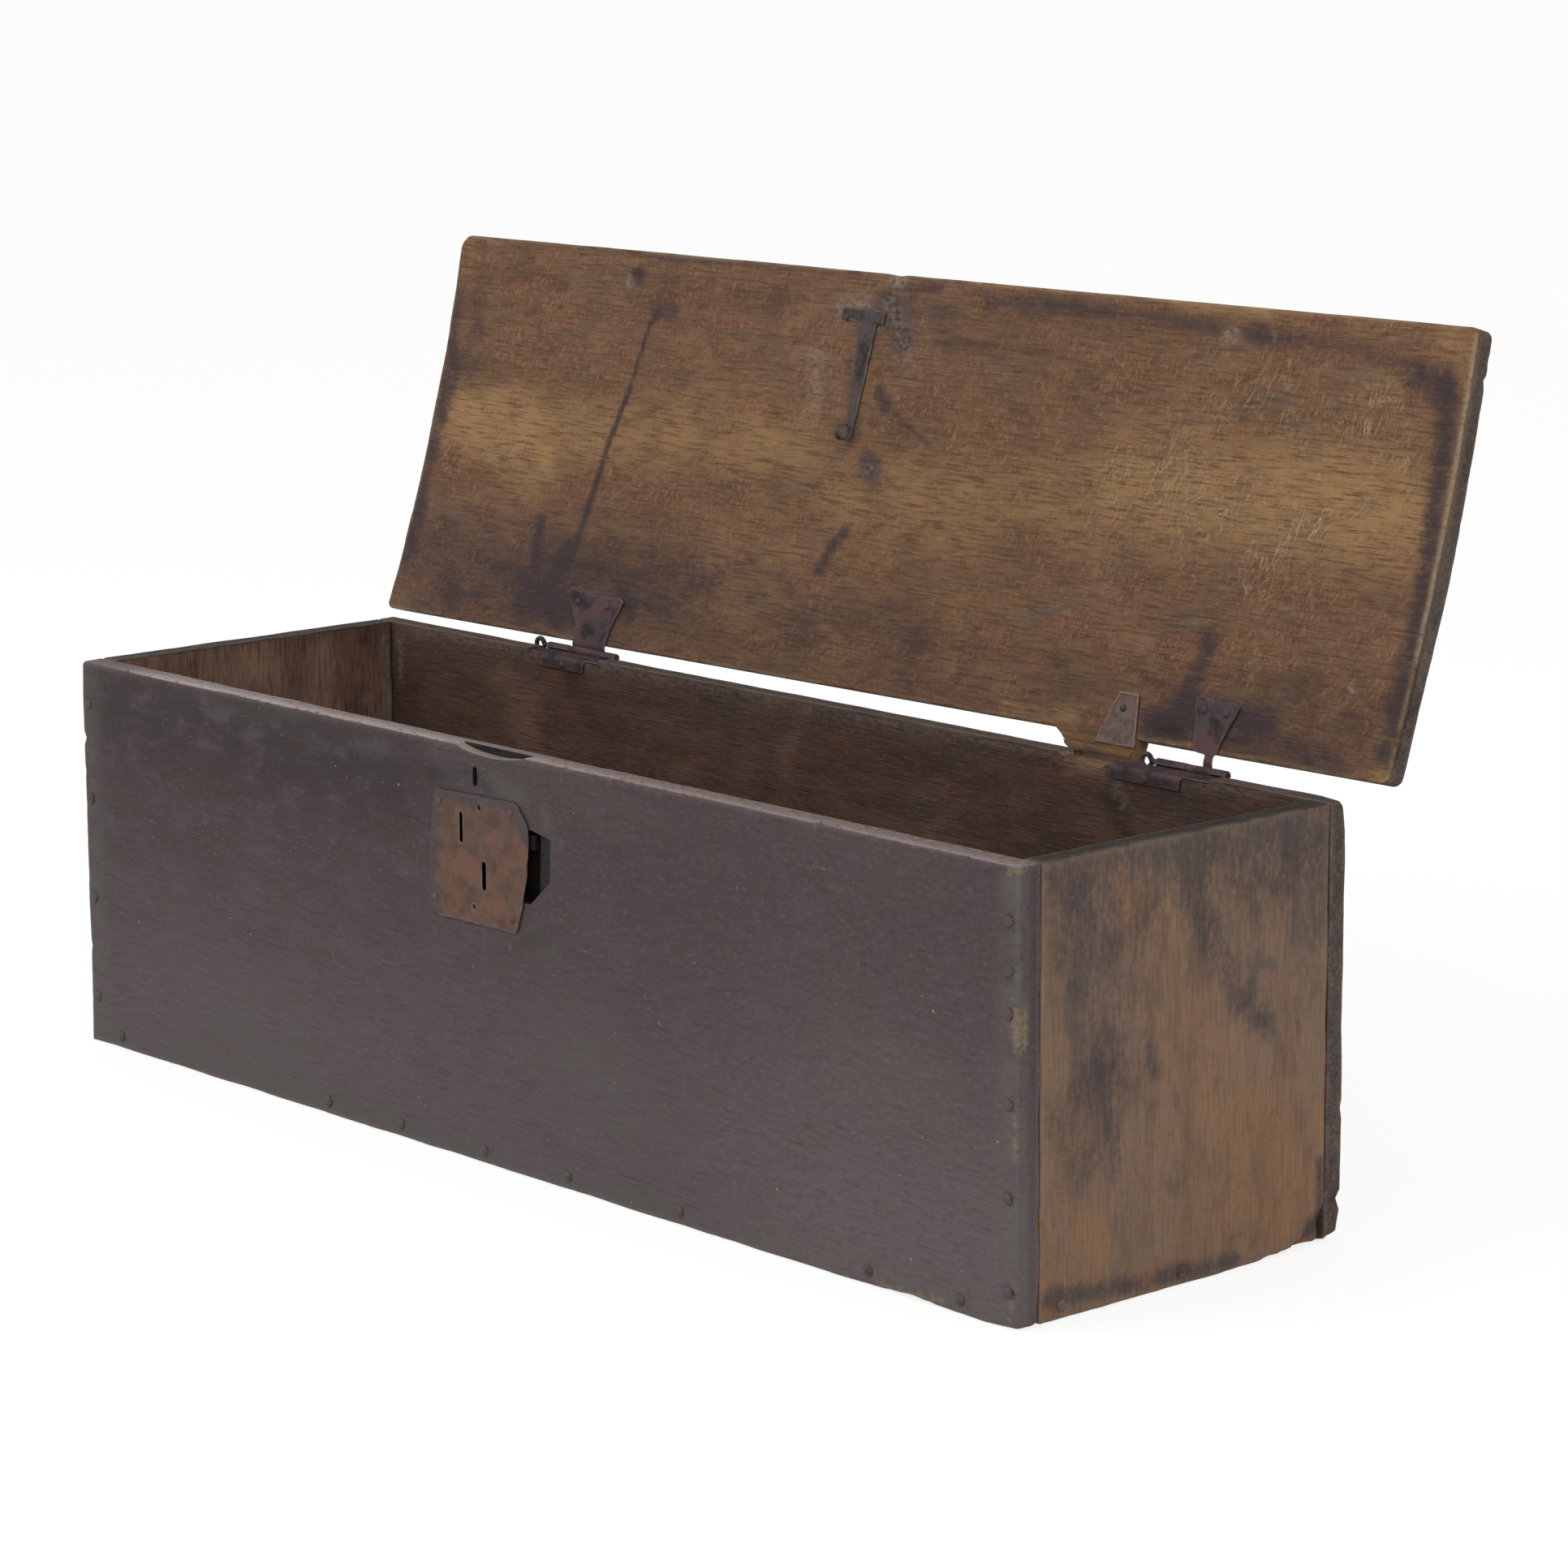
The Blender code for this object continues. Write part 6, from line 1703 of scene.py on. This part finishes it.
def seen_directly(tree):
    """One where a surface is seen by the camera, in gloss or through glass."""
    path = add(tree, "ShaderNodeLightPath").node.outputs
    total = path["Is Camera Ray"]
    for ray in ("Is Glossy Ray", "Is Transmission Ray"):
        total = add(tree, "ShaderNodeMath", {0: total, 1: path[ray]}, operation="ADD")
    return total


def look_from(position, target):
    """Matrix of a lamp that looks at a target."""
    turn = (Vector(target) - Vector(position)).to_track_quat("-Z", "Y")
    return Matrix.Translation(position) @ turn.to_matrix().to_4x4()


def lay_floor(scene, looks):
    """A sheet of white paper to stand on, dull, and a little brighter to the eye than to the chest."""
    material, tree = new_material("white paper floor")
    paper = add(tree, "ShaderNodeBsdfDiffuse", {"Color": tone(looks.floor)})
    white = add(tree, "ShaderNodeEmission", {"Color": PURE_WHITE, "Strength": GLOW})
    share = add(tree, "ShaderNodeMapRange",
                {"Value": seen_directly(tree), 1: 0.0, 2: 1.0, 3: 0.0, 4: GLOW_SHARE})
    mixed = add(tree, "ShaderNodeMixShader", {0: share, 1: paper, 2: white})
    add(tree, "ShaderNodeOutputMaterial", {"Surface": mixed})
    corners = [(x * FLOOR_HALF, y * FLOOR_HALF, 0) for x, y in ((-1, -1), (1, -1), (1, 1), (-1, 1))]
    mesh = bpy.data.meshes.new("floor")
    mesh.from_pydata(corners, [], [[0, 1, 2, 3]])
    mesh.materials.append(material)
    floor = bpy.data.objects.new("floor", mesh)
    floor.location.z = -FLOOR_BELOW
    scene.collection.objects.link(floor)


def light_room(scene, looks):
    """An even white room and two soft lamps."""
    world = bpy.data.worlds.new("studio")
    scene.world = world
    world.use_nodes = True
    tree = world.node_tree
    tree.nodes.clear()
    strength = add(tree, "ShaderNodeMapRange",
                   {"Value": seen_directly(tree), 1: 0.0, 2: 1.0, 3: looks.sky, 4: 1.0})
    sky = add(tree, "ShaderNodeBackground", {"Color": PURE_WHITE, "Strength": strength})
    add(tree, "ShaderNodeOutputWorld", {"Surface": sky})
    for name, (position, size) in LAMPS.items():
        lamp = bpy.data.lights.new(f"{name} lamp", "AREA")
        lamp.size = size
        lamp.energy = getattr(looks, name)
        holder = bpy.data.objects.new(f"{name} lamp", lamp)
        holder.matrix_world = look_from(position, LIT)
        scene.collection.objects.link(holder)


def aim_camera(scene, looks):
    """A camera at its angles round the target, rolled a little."""
    level = cos(looks.elevation)
    around = Vector((sin(looks.azimuth) * level, -cos(looks.azimuth) * level, sin(looks.elevation)))
    right = (-around).cross(Vector((0, 0, 1))).normalized()
    up = right.cross(-around)
    along, across = cos(looks.roll), sin(looks.roll)
    rolled = (right * along + up * across, up * along - right * across, around)
    camera = bpy.data.objects.new("camera", bpy.data.cameras.new("camera"))
    camera.data.lens = looks.lens
    camera.data.sensor_width = SENSOR
    turn = Matrix(rolled).transposed().to_4x4()
    camera.matrix_world = Matrix.Translation(Vector(CAMERA_TARGET) + around * looks.distance) @ turn
    scene.collection.objects.link(camera)
    scene.camera = camera


class CHEST_OT_stage(bpy.types.Operator):
    """Make the floor, the light and the camera"""
    bl_idname = "chest.stage"
    bl_label = "Stage"

    def execute(self, context):
        scene, looks = context.scene, context.scene.chest_stage
        lay_floor(scene, looks)
        light_room(scene, looks)
        aim_camera(scene, looks)
        scene.view_settings.view_transform = "Standard"
        return {"FINISHED"}


PIECES = ("box_boards", "lid_board", "hinges", "hinge_repair", "hasp_strap", "lock", "nails", "stage")


class CHEST_PT_pieces(bpy.types.Panel):
    """Lists the pieces of the chest"""
    bl_label = "Six-plank chest"
    bl_idname = "CHEST_PT_pieces"
    bl_space_type = "VIEW_3D"
    bl_region_type = "UI"
    bl_category = "Chest"

    def draw(self, context):
        for name in PIECES:
            self.layout.operator("chest." + name)
        for group in ("chest_boards", "chest_iron", "chest_stage"):
            looks = getattr(context.scene, group)
            box = self.layout.box()
            for name in looks.bl_rna.properties.keys():
                if name not in ("rna_type", "name"):
                    box.prop(looks, name)


CLASSES = (BoardLooks, IronLooks, StageLooks, CHEST_OT_box_boards, CHEST_OT_lid_board, CHEST_OT_hinges,
           CHEST_OT_hinge_repair, CHEST_OT_hasp_strap, CHEST_OT_lock, CHEST_OT_nails, CHEST_OT_stage,
           CHEST_PT_pieces)


def register():
    """Register the classes and their settings."""
    for cls in CLASSES:
        bpy.utils.register_class(cls)
    bpy.types.Scene.chest_boards = PointerProperty(type=BoardLooks)
    bpy.types.Scene.chest_iron = PointerProperty(type=IronLooks)
    bpy.types.Scene.chest_stage = PointerProperty(type=StageLooks)


def unregister():
    """Take the settings and classes away again."""
    for group in ("chest_boards", "chest_iron", "chest_stage"):
        delattr(bpy.types.Scene, group)
    for cls in reversed(CLASSES):
        bpy.utils.unregister_class(cls)


def main():
    """Build every piece."""
    register()
    for name in PIECES:
        getattr(bpy.ops.chest, name)()


if __name__ == "__main__":
    main()
